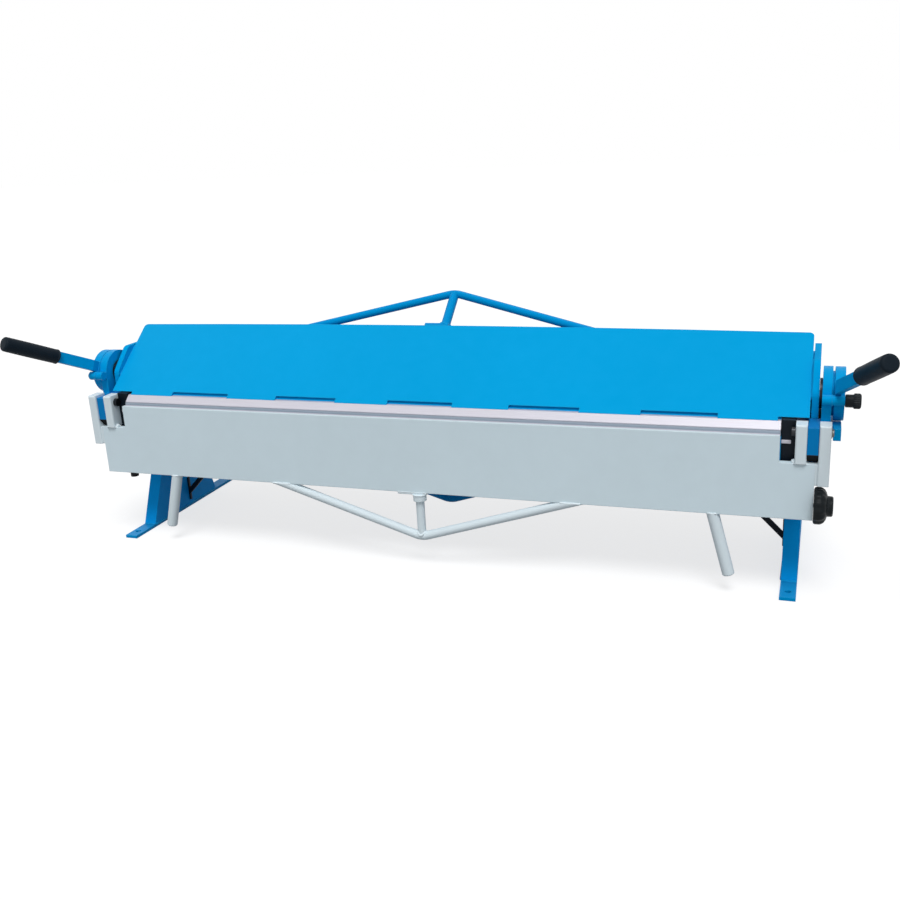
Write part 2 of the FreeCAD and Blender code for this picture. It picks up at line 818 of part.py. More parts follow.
def make_apron_plate():
    """The folding leaf: a plate with a ground blade let into its top rear edge."""
    front = rear("-apron_thickness")
    step = up("-notch_depth")
    outline = [
        ("-half_work", "apron_top"), ("-half_work", step), ("-apron_end", step),
        ("-apron_end", "apron_bottom"), ("apron_end", "apron_bottom"),
        ("apron_end", step), ("half_work", step), ("half_work", "apron_top"),
    ]
    body = flat_piece("apron_leaf", "XZ_Plane", front, "bend_y", outline)
    pocket(body, "YZ_Plane", "-half_work", "half_work",
           [rectangle((rear("-apron_blade_thickness"), "bend_y"),
                      ("apron_top - apron_blade_height", "apron_top"))])
    hole = "knob_stud_radius + running_clearance"
    pocket(body, "YZ_Plane", "apron_end - knob_stud_length - knob_gap", "apron_end", (),
           [("apron_middle", up("-angle_knob_drop"), hole)])
    blade = box("apron_blade_blank", ("-half_work", "half_work"),
                (rear("-apron_blade_thickness"), "bend_y"),
                ("apron_top - apron_blade_height", "apron_top"))
    screws = countersunk_row(
        "apron_blade_screws", rear("-screw_sink"), "apron_top - apron_blade_height / 2",
        "apron_thickness - screw_head_height", TURNS["Y"])
    keep(screws, "apron_blade_screws")
    keep(cut("apron_blade", blade, screws), "apron_blade")
    keep(cut("apron_plate", body, screws), "apron_plate")


def hinge_bar(name, inner, outer, bottom):
    """An upright flat bar on the apron with rounded front edges and a pin hole."""
    body = flat_piece(
        name, "YZ_Plane", inner, outer,
        rectangle((rear("-lug_front"), rear("lug_back")), (bottom, up("lug_top"))))
    front = number(rear("-lug_front"))
    top = number(up("lug_top"))
    round_edges(body, "lug_edge_radius", lambda edge: near(edge.CenterOfMass.y, front)
                and (along(edge, 2) or near(edge.CenterOfMass.z, top)))
    pocket(body, "YZ_Plane", inner, outer, (), [("bend_y", "bend_height", "pin_radius")])
    return body


def make_apron_hinge():
    """Inner lugs in the notches, outer bars on pads, and the pins through them."""
    lug = hinge_bar("apron_lug", "lug_inner", "lug_inner + lug_width", up("-notch_depth"))
    keep_both(lug, "apron_lug")
    bar = hinge_bar("apron_bar", "bar_inner", "bar_outer", up("-bar_reach"))
    pad(bar, "YZ_Plane", "apron_end", "bar_inner",
        rectangle((rear("-apron_thickness"), "bend_y"),
                  (up("-bar_reach"), up("-notch_depth"))))
    document.recompute()
    keep_both(bar, "apron_bar")
    end = "bar_outer + pin_tail - lug_inner"
    pin = turned_piece(
        "hinge_pin",
        [("0", "-pin_head_length"), ("pin_head_radius", "-pin_head_length"),
         ("pin_head_radius", "0"), ("pin_radius", "0"), ("pin_radius", end), ("0", end)],
        "lug_inner", "bend_y", "bend_height")
    keep(group("hinge_pins", pin, mirrored(pin, "left_hinge_pin")), "hinge_pins")


def make_apron_truss():
    """A bent rod and a post below the apron that keep it straight."""
    slope = "atan(apron_truss_drop / apron_truss_half)"
    radius = "apron_truss_radius"
    apex = "apron_bottom - apron_truss_drop"
    tube = bent_tube("apron_truss_rod", radius, slope, "apron_truss_half + 2 * trim_margin",
                     "apron_middle", apex)
    right = trimmed("apron_truss", tube, ("0", "half_work"),
                    ("apron_middle - trim_margin", "apron_middle + trim_margin"),
                    ("apron_bottom", "bend_height"))
    right, left = keep_both(right, "apron_truss")
    pad_bottom = "apron_bottom - post_pad_thickness"
    strip = box("post_strip", ("-pad_offset - post_pad_half", "post_pad_half - pad_offset"),
                (rear("-apron_thickness"), "bend_y"), (pad_bottom, "apron_bottom"))
    boss = cylinder("post_boss", "post_boss_radius", "post_boss_height", "0",
                    "apron_middle", f"{pad_bottom} - post_boss_height", TURNS["Z"])
    rod = cylinder("post_rod", "post_radius", f"{pad_bottom} - ({apex})", "0",
                   "apron_middle", apex, TURNS["Z"])
    post = fuse("post_blank", strip, boss, rod)
    keep(cut("apron_truss_post", post, right, left), "apron_truss_post")


def make_apron_fittings():
    """Pull handles, the angle stop knob and a rubber bumper."""
    turn = "rotation(vector(0; 1; 0); 180 - handle_splay)"
    handle = add("PartDesign::Body", "apron_handle_bar")
    sketch = new_sketch(handle, "XY_Plane", "-2 * handle_radius")
    draw_circle(sketch, "0", "0", "handle_radius")
    bar = handle.newObject("PartDesign::Pad", "apron_handle_pad")
    bar.Profile = sketch
    bind(bar, "Length", "handle_length + 2 * handle_radius")
    document.recompute()
    far = handle.Shape.BoundBox.ZMax
    round_edges(handle, "handle_end_radius", lambda edge: near(edge.CenterOfMass.z, far))
    place(handle, "handle_offset", rear("-handle_setback"), "apron_bottom", turn)
    right = trimmed("apron_handle", handle,
                    ("handle_offset - trim_margin", "handle_offset + trim_margin"),
                    ("apron_middle - trim_margin", "apron_middle + trim_margin"),
                    ("apron_bottom", "apron_bottom + 2 * trim_margin"))
    keep_both(right, "apron_handle")
    bumper = turned_piece(
        "apron_bumper",
        [("0", "0"), ("bumper_radius", "0"), ("bumper_radius", "bumper_length"),
         ("0", "bumper_length")],
        "-bumper_offset", "apron_middle", "apron_bottom", TURNS["-Z"])
    keep(bumper, "apron_bumper")
    end = "angle_knob_thickness + angle_knob_hub_length"
    knob = turned_piece(
        "angle_stop_knob",
        [("0", "-knob_stud_length"), ("knob_stud_radius", "-knob_stud_length"),
         ("knob_stud_radius", "0"), ("angle_knob_radius", "0"),
         ("angle_knob_radius", "angle_knob_thickness"),
         ("angle_knob_hub_radius", "angle_knob_thickness"),
         ("angle_knob_hub_radius", end), ("0", end)],
        "apron_end + knob_gap", "apron_middle", up("-angle_knob_drop"))
    rim = number("angle_knob_thickness")
    width = number("2 * angle_knob_radius")
    round_edges(knob, "angle_knob_rounding", lambda edge: near(edge.CenterOfMass.z, rim)
                and near(edge.BoundBox.XLength, width))
    keep(knob, "angle_stop_knob")


def on_slope(distance, depth):
    """Y and Z of a point up the front plate's slope and below its outer face."""
    y = f"clamp_foot + ({distance}) * cos(clamp_angle) + ({depth}) * sin(clamp_angle)"
    z = f"clamp_low + ({distance}) * sin(clamp_angle) - ({depth}) * cos(clamp_angle)"
    return rear(y), up(z)


def under_slope(height):
    """Y where the front plate's inner face is at a height above the bend line."""
    run = f"(({height}) - clamp_low) / tan(clamp_angle)"
    return rear(f"clamp_foot + clamp_plate_thickness / sin(clamp_angle) + {run}")


def height_under_slope(setback):
    """Z of the front plate's inner face at a distance behind the bend line."""
    rise = f"({setback} - clamp_foot) * tan(clamp_angle)"
    return up(f"clamp_low + {rise} - clamp_plate_thickness / cos(clamp_angle)")


def crowned_plate(name):
    """A plate whose long top edge is an arc, lying under the slope of the beam."""
    body = add("PartDesign::Body", name)
    sketch = new_sketch(body, "XY_Plane", "-clamp_plate_thickness")
    half, edge = number("clamp_half"), number("clamp_plate_width")
    corners = [FreeCAD.Vector(x, y, 0)
               for x, y in ((-half, edge), (-half, 0), (half, 0), (half, edge))]
    for start, end in zip(corners, corners[1:]):
        sketch.addGeometry(Part.LineSegment(start, end), False)
    crest = FreeCAD.Vector(0, number("clamp_top"), 0)
    sketch.addGeometry(Part.Arc(corners[3], crest, corners[0]), False)
    arc = sketch.GeometryCount - 1
    for index in range(arc):
        sketch.addConstraint(Sketcher.Constraint("Coincident", index, 2, index + 1, 1))
    sketch.addConstraint(Sketcher.Constraint("Coincident", arc, 2, 0, 1))
    for index, (x, y) in enumerate((("-clamp_half", "clamp_plate_width"),
                                    ("-clamp_half", "0"), ("clamp_half", "0"))):
        fix(sketch, index, 1, x, y)
    fix(sketch, arc - 1, 2, "clamp_half", "clamp_plate_width")
    arc_radius = "(clamp_half ^ 2 + clamp_crown ^ 2) / (2 * clamp_crown)"
    fix(sketch, arc, 3, None, f"clamp_top - {arc_radius}")
    feature = body.newObject("PartDesign::Pad", name + "_pad")
    feature.Profile = sketch
    bind(feature, "Length", "clamp_plate_thickness")
    document.recompute()
    return body


def make_clamp_plates():
    """The sloping front plate and the folded plate that closes it behind."""
    front = crowned_plate("clamp_front_blank")
    edge = number("clamp_plate_width")
    round_edges(front, "clamp_corner_radius",
                lambda side: along(side, 2) and near(side.CenterOfMass.y, edge))
    start = on_slope("0", "0")
    place(front, "0", start[0], start[1], "rotation(vector(1; 0; 0); clamp_angle)")
    behind = rear("clamp_back")
    through = ("bend_y", behind)
    wide = "clamp_half + trim_margin"
    openings = [box("clamp_front_underside", (f"-({wide})", wide), through,
                    (up("-trim_margin"), up("clamp_low")))]
    for place_in_row in range(-2, 3):
        middle = f"{place_in_row} * slot_pitch"
        openings.append(box(f"clamp_slot_{place_in_row + 3}",
                            (f"{middle} - slot_half_length", f"{middle} + slot_half_length"),
                            through, ("bend_height", up("clamp_low + slot_height"))))
    rise_start = "half_work - end_rise_inset"
    for side, inner, outer in (("right", rise_start, wide),
                               ("left", f"-({wide})", f"-({rise_start})")):
        openings.append(box(f"clamp_{side}_rise", (inner, outer), through,
                            ("bend_height", up("clamp_low + end_rise"))))
    keep(cut("clamp_front_plate", front, *openings), "clamp_front_plate")
    thick = "clamp_back_thickness"
    fold = f"clamp_back - {thick}"
    outline = [
        (under_slope("clamp_low"), up("clamp_low")), (behind, up("clamp_low")),
        (behind, height_under_slope("clamp_back")), (rear(fold), height_under_slope(fold)),
        (rear(fold), up(f"clamp_low + {thick}")),
        (under_slope(f"clamp_low + {thick}"), up(f"clamp_low + {thick}")),
    ]
    back = flat_piece("clamp_back_blank", "YZ_Plane", "-clamp_half", "clamp_half", outline)
    toe = (rear("clamp_foot"), rear("clamp_foot + end_toe_cut"))
    pocket(back, "XY_Plane", up("clamp_low"), up(f"clamp_low + {thick}"),
           [rectangle(("half_work", wide), toe), rectangle((f"-({wide})", "-half_work"), toe)])
    screws = countersunk_row(
        "clamp_blade_screws", rear("(clamp_foot + clamp_blade_depth) / 2 + screw_radius"),
        up("jaw_gap + screw_sink"), f"clamp_foot_height - screw_sink + {thick}", TURNS["-Z"])
    keep(screws, "clamp_blade_screws")
    keep(cut("clamp_back_plate", back, screws), "clamp_back_plate")
    nose = rear("jaw_gap + clamp_blade_land + clamp_blade_setback")
    outline = [
        (nose, up("jaw_gap")), (rear("clamp_blade_depth"), up("jaw_gap")),
        (rear("clamp_blade_depth"), up("clamp_low")), (rear("clamp_foot"), up("clamp_low")),
        (nose, up("jaw_gap + clamp_blade_land")),
    ]
    blade = flat_piece("clamp_blade_blank", "YZ_Plane", "-half_work", "half_work", outline)
    keep(cut("clamp_blade", blade, screws), "clamp_blade")


def make_clamp_end_plates():
    """Thick ends of the clamping beam, each with a pivot hole and a crank slot."""
    lean = "end_plate_top - end_plate_shoulder"
    outline = [
        (rear("end_plate_front"), up("end_plate_bottom")),
        (rear("end_plate_front"), up("end_plate_shoulder")),
        (rear(f"end_plate_front + {lean}"), up("end_plate_top")),
        (rear("pivot_setback - end_plate_rear_slope"), up("end_plate_top")),
        (rear("pivot_setback"), up("pivot_height + pivot_boss_radius")),
        (rear("pivot_setback"), up("pivot_height - pivot_boss_radius")),
        (rear("pivot_setback - pivot_boss_radius"), up("end_plate_bottom")),
    ]
    body = flat_piece("clamp_end_plate", "YZ_Plane", "end_plate_inner", "end_plate_outer",
                      outline)
    places = [(number(y), number(z)) for y, z in outline[1:3]]
    round_edges(body, "end_plate_corner_radius", lambda edge: along(edge, 0) and any(
        near(edge.CenterOfMass.y, y) and near(edge.CenterOfMass.z, z) for y, z in places))
    pad(body, "YZ_Plane", "end_plate_inner", "end_plate_outer", None,
        [("pivot_y", "pivot_z", "pivot_boss_radius")])
    pad(body, "YZ_Plane", "clamp_half", "end_plate_inner",
        rectangle((rear("clamp_blade_depth"), rear("clamp_back")),
                  (up("clamp_low"), up("clamp_low + clamp_back_thickness"))))
    document.recompute()
    pin_low = "lever_z - lever_throw - crank_pin_radius"
    slot = rectangle(
        ("lever_y - lever_throw - crank_pin_radius - slot_front_spare",
         "lever_y + crank_pin_radius + slot_front_spare"),
        (f"{pin_low} - slot_lower_spare",
         "lever_z - lever_throw + crank_pin_radius + slot_upper_spare"))
    pocket(body, "YZ_Plane", "end_plate_inner", "end_plate_outer", [slot],
           [("pivot_y", "pivot_z", "pivot_radius + running_clearance")])
    keep_both(body, "clamp_end_plate")


def make_clamp_truss():
    """A bent rod and a post behind the top edge that keep the beam straight."""
    turn = "rotation(vector(1; 0; 0); 90 + clamp_angle)"
    apex = on_slope("clamp_truss_apex", "truss_plane")
    slope = "atan((clamp_truss_apex - (truss_foot)) / clamp_truss_half)"
    rod = bent_tube("clamp_truss_rod", "clamp_truss_radius", slope, "clamp_truss_half",
                    apex[0], apex[1], turn)
    right, left = keep_both(rod, "clamp_truss")
    edge = on_slope("clamp_top", "truss_plane")
    strip = add("Part::Box", "clamp_post_strip")
    bind(strip, "Length", "2 * clamp_pad_half")
    bind(strip, "Width", "truss_plane + clamp_truss_radius")
    bind(strip, "Height", "clamp_pad_thickness")
    corner = on_slope("clamp_top + clamp_pad_thickness",
                      "truss_plane + clamp_truss_radius")
    place(strip, "-pad_offset - clamp_pad_half", corner[0], corner[1], turn)
    boss = cylinder("clamp_post_boss", "clamp_boss_radius", "clamp_boss_length", "0",
                    edge[0], edge[1], "rotation(vector(1; 0; 0); clamp_angle - 90)")
    length = "clamp_truss_apex - clamp_top - clamp_truss_radius / 2"
    post = cylinder("clamp_post_rod", "clamp_post_radius", length, "0", edge[0], edge[1],
                    "rotation(vector(1; 0; 0); clamp_angle - 90)")
    whole = fuse("clamp_post_blank", strip, boss, post)
    keep(cut("clamp_truss_post", whole, right, left), "clamp_truss_post")


def make_levers():
    """Eccentric shafts with a disc, a bent flat arm and a grip at each end."""
    tilt = "rotation(vector(1; 0; 0); -lever_tilt)"
    journal_start = "end_plate_outer + knob_gap"
    journal = cylinder("shaft_journal", "journal_radius",
                       f"disc_inner - ({journal_start})", journal_start, "lever_y", "lever_z")
    crank_start = "end_plate_inner + knob_gap"
    crank = cylinder("shaft_crank_pin", "crank_pin_radius",
                     f"{journal_start} - ({crank_start})", crank_start,
                     "lever_y", "lever_z - lever_throw")
    spigot = cylinder("shaft_spigot", "spigot_radius", "disc_thickness", "disc_inner",
                      "lever_y", "lever_z")
    collar = cylinder("shaft_collar", "collar_radius",
                      f"side_inner - knob_gap - ({journal_start})", journal_start,
                      "lever_y", "lever_z")
    keep_both(fuse("eccentric_shaft", journal, crank, spigot, collar), "eccentric_shaft")
    bend = "arm_bend"
    half = "arm_thickness / 2"
    miter = f"{half} * tan(arm_splay / 2)"
    out = "arm_length * sin(arm_splay)"
    reach = "arm_length * cos(arm_splay)"
    side = f"{half} * cos(arm_splay)"
    turn_in = f"{half} * sin(arm_splay)"
    outline = [
        (f"arm_x - {half}", "-arm_root"), (f"arm_x + {half}", "-arm_root"),
        (f"arm_x + {half}", f"-({bend} + {miter}) + 2 * {miter}"),
        (f"arm_x + {out} + {side}", f"-({bend} + {reach} - {turn_in})"),
        (f"arm_x + {out} - {side}", f"-({bend} + {reach} + {turn_in})"),
        (f"arm_x - {half}", f"-({bend} + {miter})"),
    ]
    arm = flat_piece("lever_arm", "XY_Plane", "-arm_drop - arm_height / 2",
                     "-arm_drop + arm_height / 2", outline)
    place(arm, "0", "lever_y", "lever_z", tilt)
    keep_both(arm, "lever_arm")
    plate = cylinder("disc_plate", "disc_radius", "disc_thickness", "disc_inner",
                     "lever_y", "lever_z")
    boss_start = "side_outer + knob_gap"
    boss = cylinder("disc_boss", "disc_boss_radius", f"disc_inner - ({boss_start})",
                    boss_start, "lever_y", "lever_z")
    disc = fuse("disc_blank", plate, boss)
    hole = cylinder("disc_hole", "spigot_radius", "disc_thickness", "disc_inner",
                    "lever_y", "lever_z")
    seat = cylinder("disc_seat", "journal_radius", f"disc_inner - ({boss_start})",
                    boss_start, "lever_y", "lever_z")
    keep_both(cut("lever_disc", disc, hole, seat, arm), "lever_disc")
    grip = add("PartDesign::Body", "grip_blank")
    sketch = new_sketch(grip, "XY_Plane")
    draw_circle(sketch, "0", "0", "grip_radius")
    sleeve = grip.newObject("PartDesign::Pad", "grip_pad")
    sleeve.Profile = sketch
    bind(sleeve, "Length", "grip_length")
    document.recompute()
    far = grip.Shape.BoundBox.ZMax
    round_edges(grip, "grip_end_radius", lambda edge: near(edge.CenterOfMass.z, far)
                or near(edge.CenterOfMass.z, 0))
    slant = "rotation(vector(0; 0; 1); arm_splay) * rotation(vector(1; 0; 0); 90)"
    bind(grip, "Placement",
         f"placement(vector(0; lever_y; lever_z); {tilt})"
         " * placement(vector(arm_x + grip_start * sin(arm_splay);"
         f" -(arm_bend + grip_start * cos(arm_splay)); -arm_drop); {slant})")
    keep_both(cut("lever_grip", grip, arm), "lever_grip")


def write_parts():
    """Check every object of the document, then write each sub-part's solid."""
    document.recompute()
    for item in document.Objects:
        if "Invalid" in item.State or "Error" in item.State:
            raise RuntimeError(f"{item.Label} is {item.State}")
    for item in parts:
        if item.Shape.isNull() or not item.Shape.isValid() or not item.Shape.Solids:
            raise RuntimeError(f"{item.Label} has no valid solid")
    os.makedirs("parts", exist_ok=True)
    for item in parts:
        item.Shape.exportStep(os.path.join("parts", item.Label + ".step"))


make_bed()
make_end_blocks()
frame_bolts = make_frame_bolts()
make_side_plates(frame_bolts)
make_hinge_blocks(frame_bolts)
make_brackets(frame_bolts)
make_stops()
make_legs()
make_braces()
make_pivots()
make_bed_truss()
make_apron_plate()
make_apron_hinge()
make_apron_truss()
make_apron_fittings()
make_clamp_plates()
make_clamp_end_plates()
make_clamp_truss()
make_levers()
write_parts()
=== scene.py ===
"""Sheet metal folder: paint, ground steel, welds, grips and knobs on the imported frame."""
import json
import math

import bmesh
import bpy
from mathutils import Matrix, Vector


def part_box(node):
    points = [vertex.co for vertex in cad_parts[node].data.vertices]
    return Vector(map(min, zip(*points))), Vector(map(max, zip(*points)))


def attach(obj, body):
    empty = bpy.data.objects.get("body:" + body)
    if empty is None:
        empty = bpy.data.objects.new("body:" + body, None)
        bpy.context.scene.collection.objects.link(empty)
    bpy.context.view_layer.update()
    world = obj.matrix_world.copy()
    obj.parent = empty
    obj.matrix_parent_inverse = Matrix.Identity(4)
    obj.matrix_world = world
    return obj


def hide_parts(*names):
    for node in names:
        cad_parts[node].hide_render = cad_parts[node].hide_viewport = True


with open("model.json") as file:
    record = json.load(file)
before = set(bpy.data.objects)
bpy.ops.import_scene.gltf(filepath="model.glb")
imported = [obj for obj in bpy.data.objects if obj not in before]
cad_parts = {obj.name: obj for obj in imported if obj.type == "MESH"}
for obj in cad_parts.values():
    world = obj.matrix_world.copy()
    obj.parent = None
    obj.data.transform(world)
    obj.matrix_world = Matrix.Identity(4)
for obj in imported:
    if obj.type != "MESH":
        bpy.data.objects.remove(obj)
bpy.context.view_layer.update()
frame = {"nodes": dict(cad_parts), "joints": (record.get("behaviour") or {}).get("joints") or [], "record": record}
NODES = frame["nodes"]
MM = 0.001
SIDES = (("left", -1), ("right", 1))

# A point on the apron's hinge line, and one on the line that both lever shafts turn about
PIVOTS = {joint["name"]: Vector(joint["pos_m"]) for joint in frame["joints"]}
HINGE = PIVOTS["apron_fold"]
SHAFT = PIVOTS["left_lever_turn"]

# The outer face of the right side plate, which the left one mirrors
SIDE_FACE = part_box("right_side_plate")[1].x

# Each lever arm rises forward by its tilt, and beyond its bend it splays outward
LEVER_TILT = math.radians(25.3)
ARM_SPLAY = math.radians(19.15)


def middle(node):
    low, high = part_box(node)
    return (low + high) / 2


def inner_and_outer(node, sign):
    """The x of the inner and of the outer face of a node at the side that sign names."""
    low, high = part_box(node)
    return (low.x, high.x) if sign > 0 else (high.x, low.x)


# The camera stands where the photograph was taken from
CAMERA_PLACE = (0.68848, -1.85903, 0.78114)
CAMERA_YAW = -0.35748
CAMERA_PITCH = 0.29960
CAMERA_ROLL = -0.05490
CAMERA_LENS = 41.06


def set_camera():
    level = Vector((math.cos(CAMERA_YAW), -math.sin(CAMERA_YAW), 0))
    ahead = Vector((math.sin(CAMERA_YAW) * math.cos(CAMERA_PITCH),
                    math.cos(CAMERA_YAW) * math.cos(CAMERA_PITCH), -math.sin(CAMERA_PITCH)))
    upright = level.cross(ahead)
    right = math.cos(CAMERA_ROLL) * level + math.sin(CAMERA_ROLL) * upright
    up = math.cos(CAMERA_ROLL) * upright - math.sin(CAMERA_ROLL) * level
    camera = bpy.data.objects.new("camera", bpy.data.cameras.new("camera"))
    camera.matrix_world = Matrix.Translation(CAMERA_PLACE) @ Matrix(
        (right, up, -ahead)).transposed().to_4x4()
    camera.data.lens = CAMERA_LENS
    bpy.context.scene.collection.objects.link(camera)
    bpy.context.scene.camera = camera


def feed(tree, value, socket):
    """Give a socket a plain value, or a link where the value is another socket."""
    if isinstance(value, bpy.types.NodeSocket):
        tree.links.new(value, socket)
    else:
        socket.default_value = value


def math_node(tree, operation, first, second):
    node = tree.nodes.new("ShaderNodeMath")
    node.operation = operation
    feed(tree, first, node.inputs[0])
    feed(tree, second, node.inputs[1])
    return node.outputs[0]


def added(tree, first, second):
    return math_node(tree, "ADD", first, second)


def scaled(tree, first, second):
    return math_node(tree, "MULTIPLY", first, second)


# Where a Mix node keeps the share of its second colour, its two colours and their blend
MIX_SHARE, MIX_FIRST, MIX_SECOND, MIX_BLEND = 0, 6, 7, 2


def blend_colors(tree, share, first, second):
    node = tree.nodes.new("ShaderNodeMix")
    node.data_type = "RGBA"
    feed(tree, share, node.inputs[MIX_SHARE])
    feed(tree, first, node.inputs[MIX_FIRST])
    feed(tree, second, node.inputs[MIX_SECOND])
    return node.outputs[MIX_BLEND]


def seen_directly(tree):
    """1 where a ray comes from the camera, a gloss or a glass surface, else 0."""
    ray = tree.nodes.new("ShaderNodeLightPath").outputs
    plain = math_node(tree, "MAXIMUM", ray["Is Camera Ray"], ray["Is Glossy Ray"])
    return math_node(tree, "MAXIMUM", plain, ray["Is Transmission Ray"])


# Light is plain and soft: an even world, a lamp above and a weaker, broader one in front.
# Each lamp has a name, the direction it shines from, a strength and a spread in degrees.
WORLD_LEVEL = 0.40
LAMPS = (("upper_softbox", (0.12, -0.44, 0.88), 1.92, 28),
         ("front_softbox", (0.25, -0.95, 0.17), 0.38, 50))


def set_light():
    scene = bpy.context.scene
    world = bpy.data.worlds.new("studio")
    world.use_nodes = True
    tree = world.node_tree
    background = tree.nodes["Background"]
    background.inputs["Color"].default_value = (1, 1, 1, 1)
    level = tree.nodes.new("ShaderNodeMapRange")
    level.inputs["To Min"].default_value = WORLD_LEVEL
    level.inputs["To Max"].default_value = 1
    tree.links.new(seen_directly(tree), level.inputs["Value"])
    tree.links.new(level.outputs["Result"], background.inputs["Strength"])
    scene.world = world
    for name, source, strength, spread in LAMPS:
        lamp = bpy.data.lights.new(name, "SUN")
        lamp.energy = strength
        lamp.angle = math.radians(spread)
        holder = bpy.data.objects.new(name, lamp)
        holder.rotation_mode = "QUATERNION"
        holder.rotation_quaternion = Vector(source).to_track_quat("Z", "Y")
        scene.collection.objects.link(holder)
    scene.view_settings.view_transform = "Standard"


# The floor glows and takes shadow in the picture, and throws little light on the object
FLOOR_REACH = 20
FLOOR_GLOW = (0.72, 0.72, 0.72, 1)
FLOOR_SHADE = (0.35, 0.35, 0.35, 1)
FLOOR_BOUNCE = (0.26, 0.27, 0.28, 1)
NO_GLOW = (0, 0, 0, 1)


def lay_floor():
    mesh = bpy.data.meshes.new("floor")
    corners = [(x * FLOOR_REACH, y * FLOOR_REACH, 0) for x, y in ((-1, -1), (1, -1), (1, 1), (-1, 1))]
    mesh.from_pydata(corners, [], [(0, 1, 2, 3)])
    floor = bpy.data.objects.new("floor", mesh)
    bpy.context.scene.collection.objects.link(floor)
    material = bpy.data.materials.new("pale_floor")
    material.use_nodes = True
    tree = material.node_tree
    surface = tree.nodes["Principled BSDF"]
    surface.inputs["Roughness"].default_value = 1
    surface.inputs["Specular IOR Level"].default_value = 0
    surface.inputs["Emission Strength"].default_value = 1
    seen = seen_directly(tree)
    feed(tree, blend_colors(tree, seen, FLOOR_BOUNCE, FLOOR_SHADE), surface.inputs["Base Color"])
    feed(tree, blend_colors(tree, seen, NO_GLOW, FLOOR_GLOW), surface.inputs["Emission Color"])
    mesh.materials.append(material)


# Shared effects, each a node group that gives out colours, masks, values or normals
def effect(name, inputs, outputs):
    """A node group of (kind, name, default) inputs and (kind, name) outputs, still empty."""
    tree = bpy.data.node_groups.new(name, "ShaderNodeTree")
    for kind, label, value in inputs:
        socket = tree.interface.new_socket(label, in_out="INPUT", socket_type="NodeSocket" + kind)
        socket.default_value = value
    for kind, label in outputs:
        tree.interface.new_socket(label, in_out="OUTPUT", socket_type="NodeSocket" + kind)
    given = tree.nodes.new("NodeGroupInput").outputs
    return tree, given, tree.nodes.new("NodeGroupOutput").inputs


def noise_of(tree, scale, detail=2.0, stretch=None, rough=0.5):
    """Noise in the object's own place, stretched along an axis where stretch says so."""
    place = tree.nodes.new("ShaderNodeTexCoord").outputs["Object"]
    if stretch:
        mapping = tree.nodes.new("ShaderNodeMapping")
        mapping.inputs["Scale"].default_value = stretch
        tree.links.new(place, mapping.inputs["Vector"])
        place = mapping.outputs["Vector"]
    noise = tree.nodes.new("ShaderNodeTexNoise")
    noise.inputs["Detail"].default_value = detail
    noise.inputs["Roughness"].default_value = rough
    feed(tree, scale, noise.inputs["Scale"])
    tree.links.new(place, noise.inputs["Vector"])
    return noise.outputs["Fac"]


def shaded(tree, color, level):
    """A colour made lighter or darker by a level around 1."""
    shade = tree.nodes.new("ShaderNodeHueSaturation")
    feed(tree, color, shade.inputs["Color"])
    feed(tree, level, shade.inputs["Value"])
    return shade.outputs["Color"]


def make_soft_edge():
    """Rounds sharp edges in the light, and marks where they are."""
    mark_strength = 6.0
    tree, given, result = effect("soft_edge", [("Float", "Radius", 0.001)],
                                [("Vector", "Normal"), ("Float", "Edge")])
    bevel = tree.nodes.new("ShaderNodeBevel")
    bevel.samples = 6
    feed(tree, given["Radius"], bevel.inputs["Radius"])
    shape = tree.nodes.new("ShaderNodeNewGeometry")
    compare = tree.nodes.new("ShaderNodeVectorMath")
    compare.operation = "DOT_PRODUCT"
    feed(tree, bevel.outputs["Normal"], compare.inputs[0])
    feed(tree, shape.outputs["True Normal"], compare.inputs[1])
    turned_away = math_node(tree, "SUBTRACT", 1.0, compare.outputs["Value"])
    mark = math_node(tree, "MINIMUM", scaled(tree, turned_away, mark_strength), 1.0)
    feed(tree, mark, result["Edge"])
    feed(tree, bevel.outputs["Normal"], result["Normal"])
    return tree


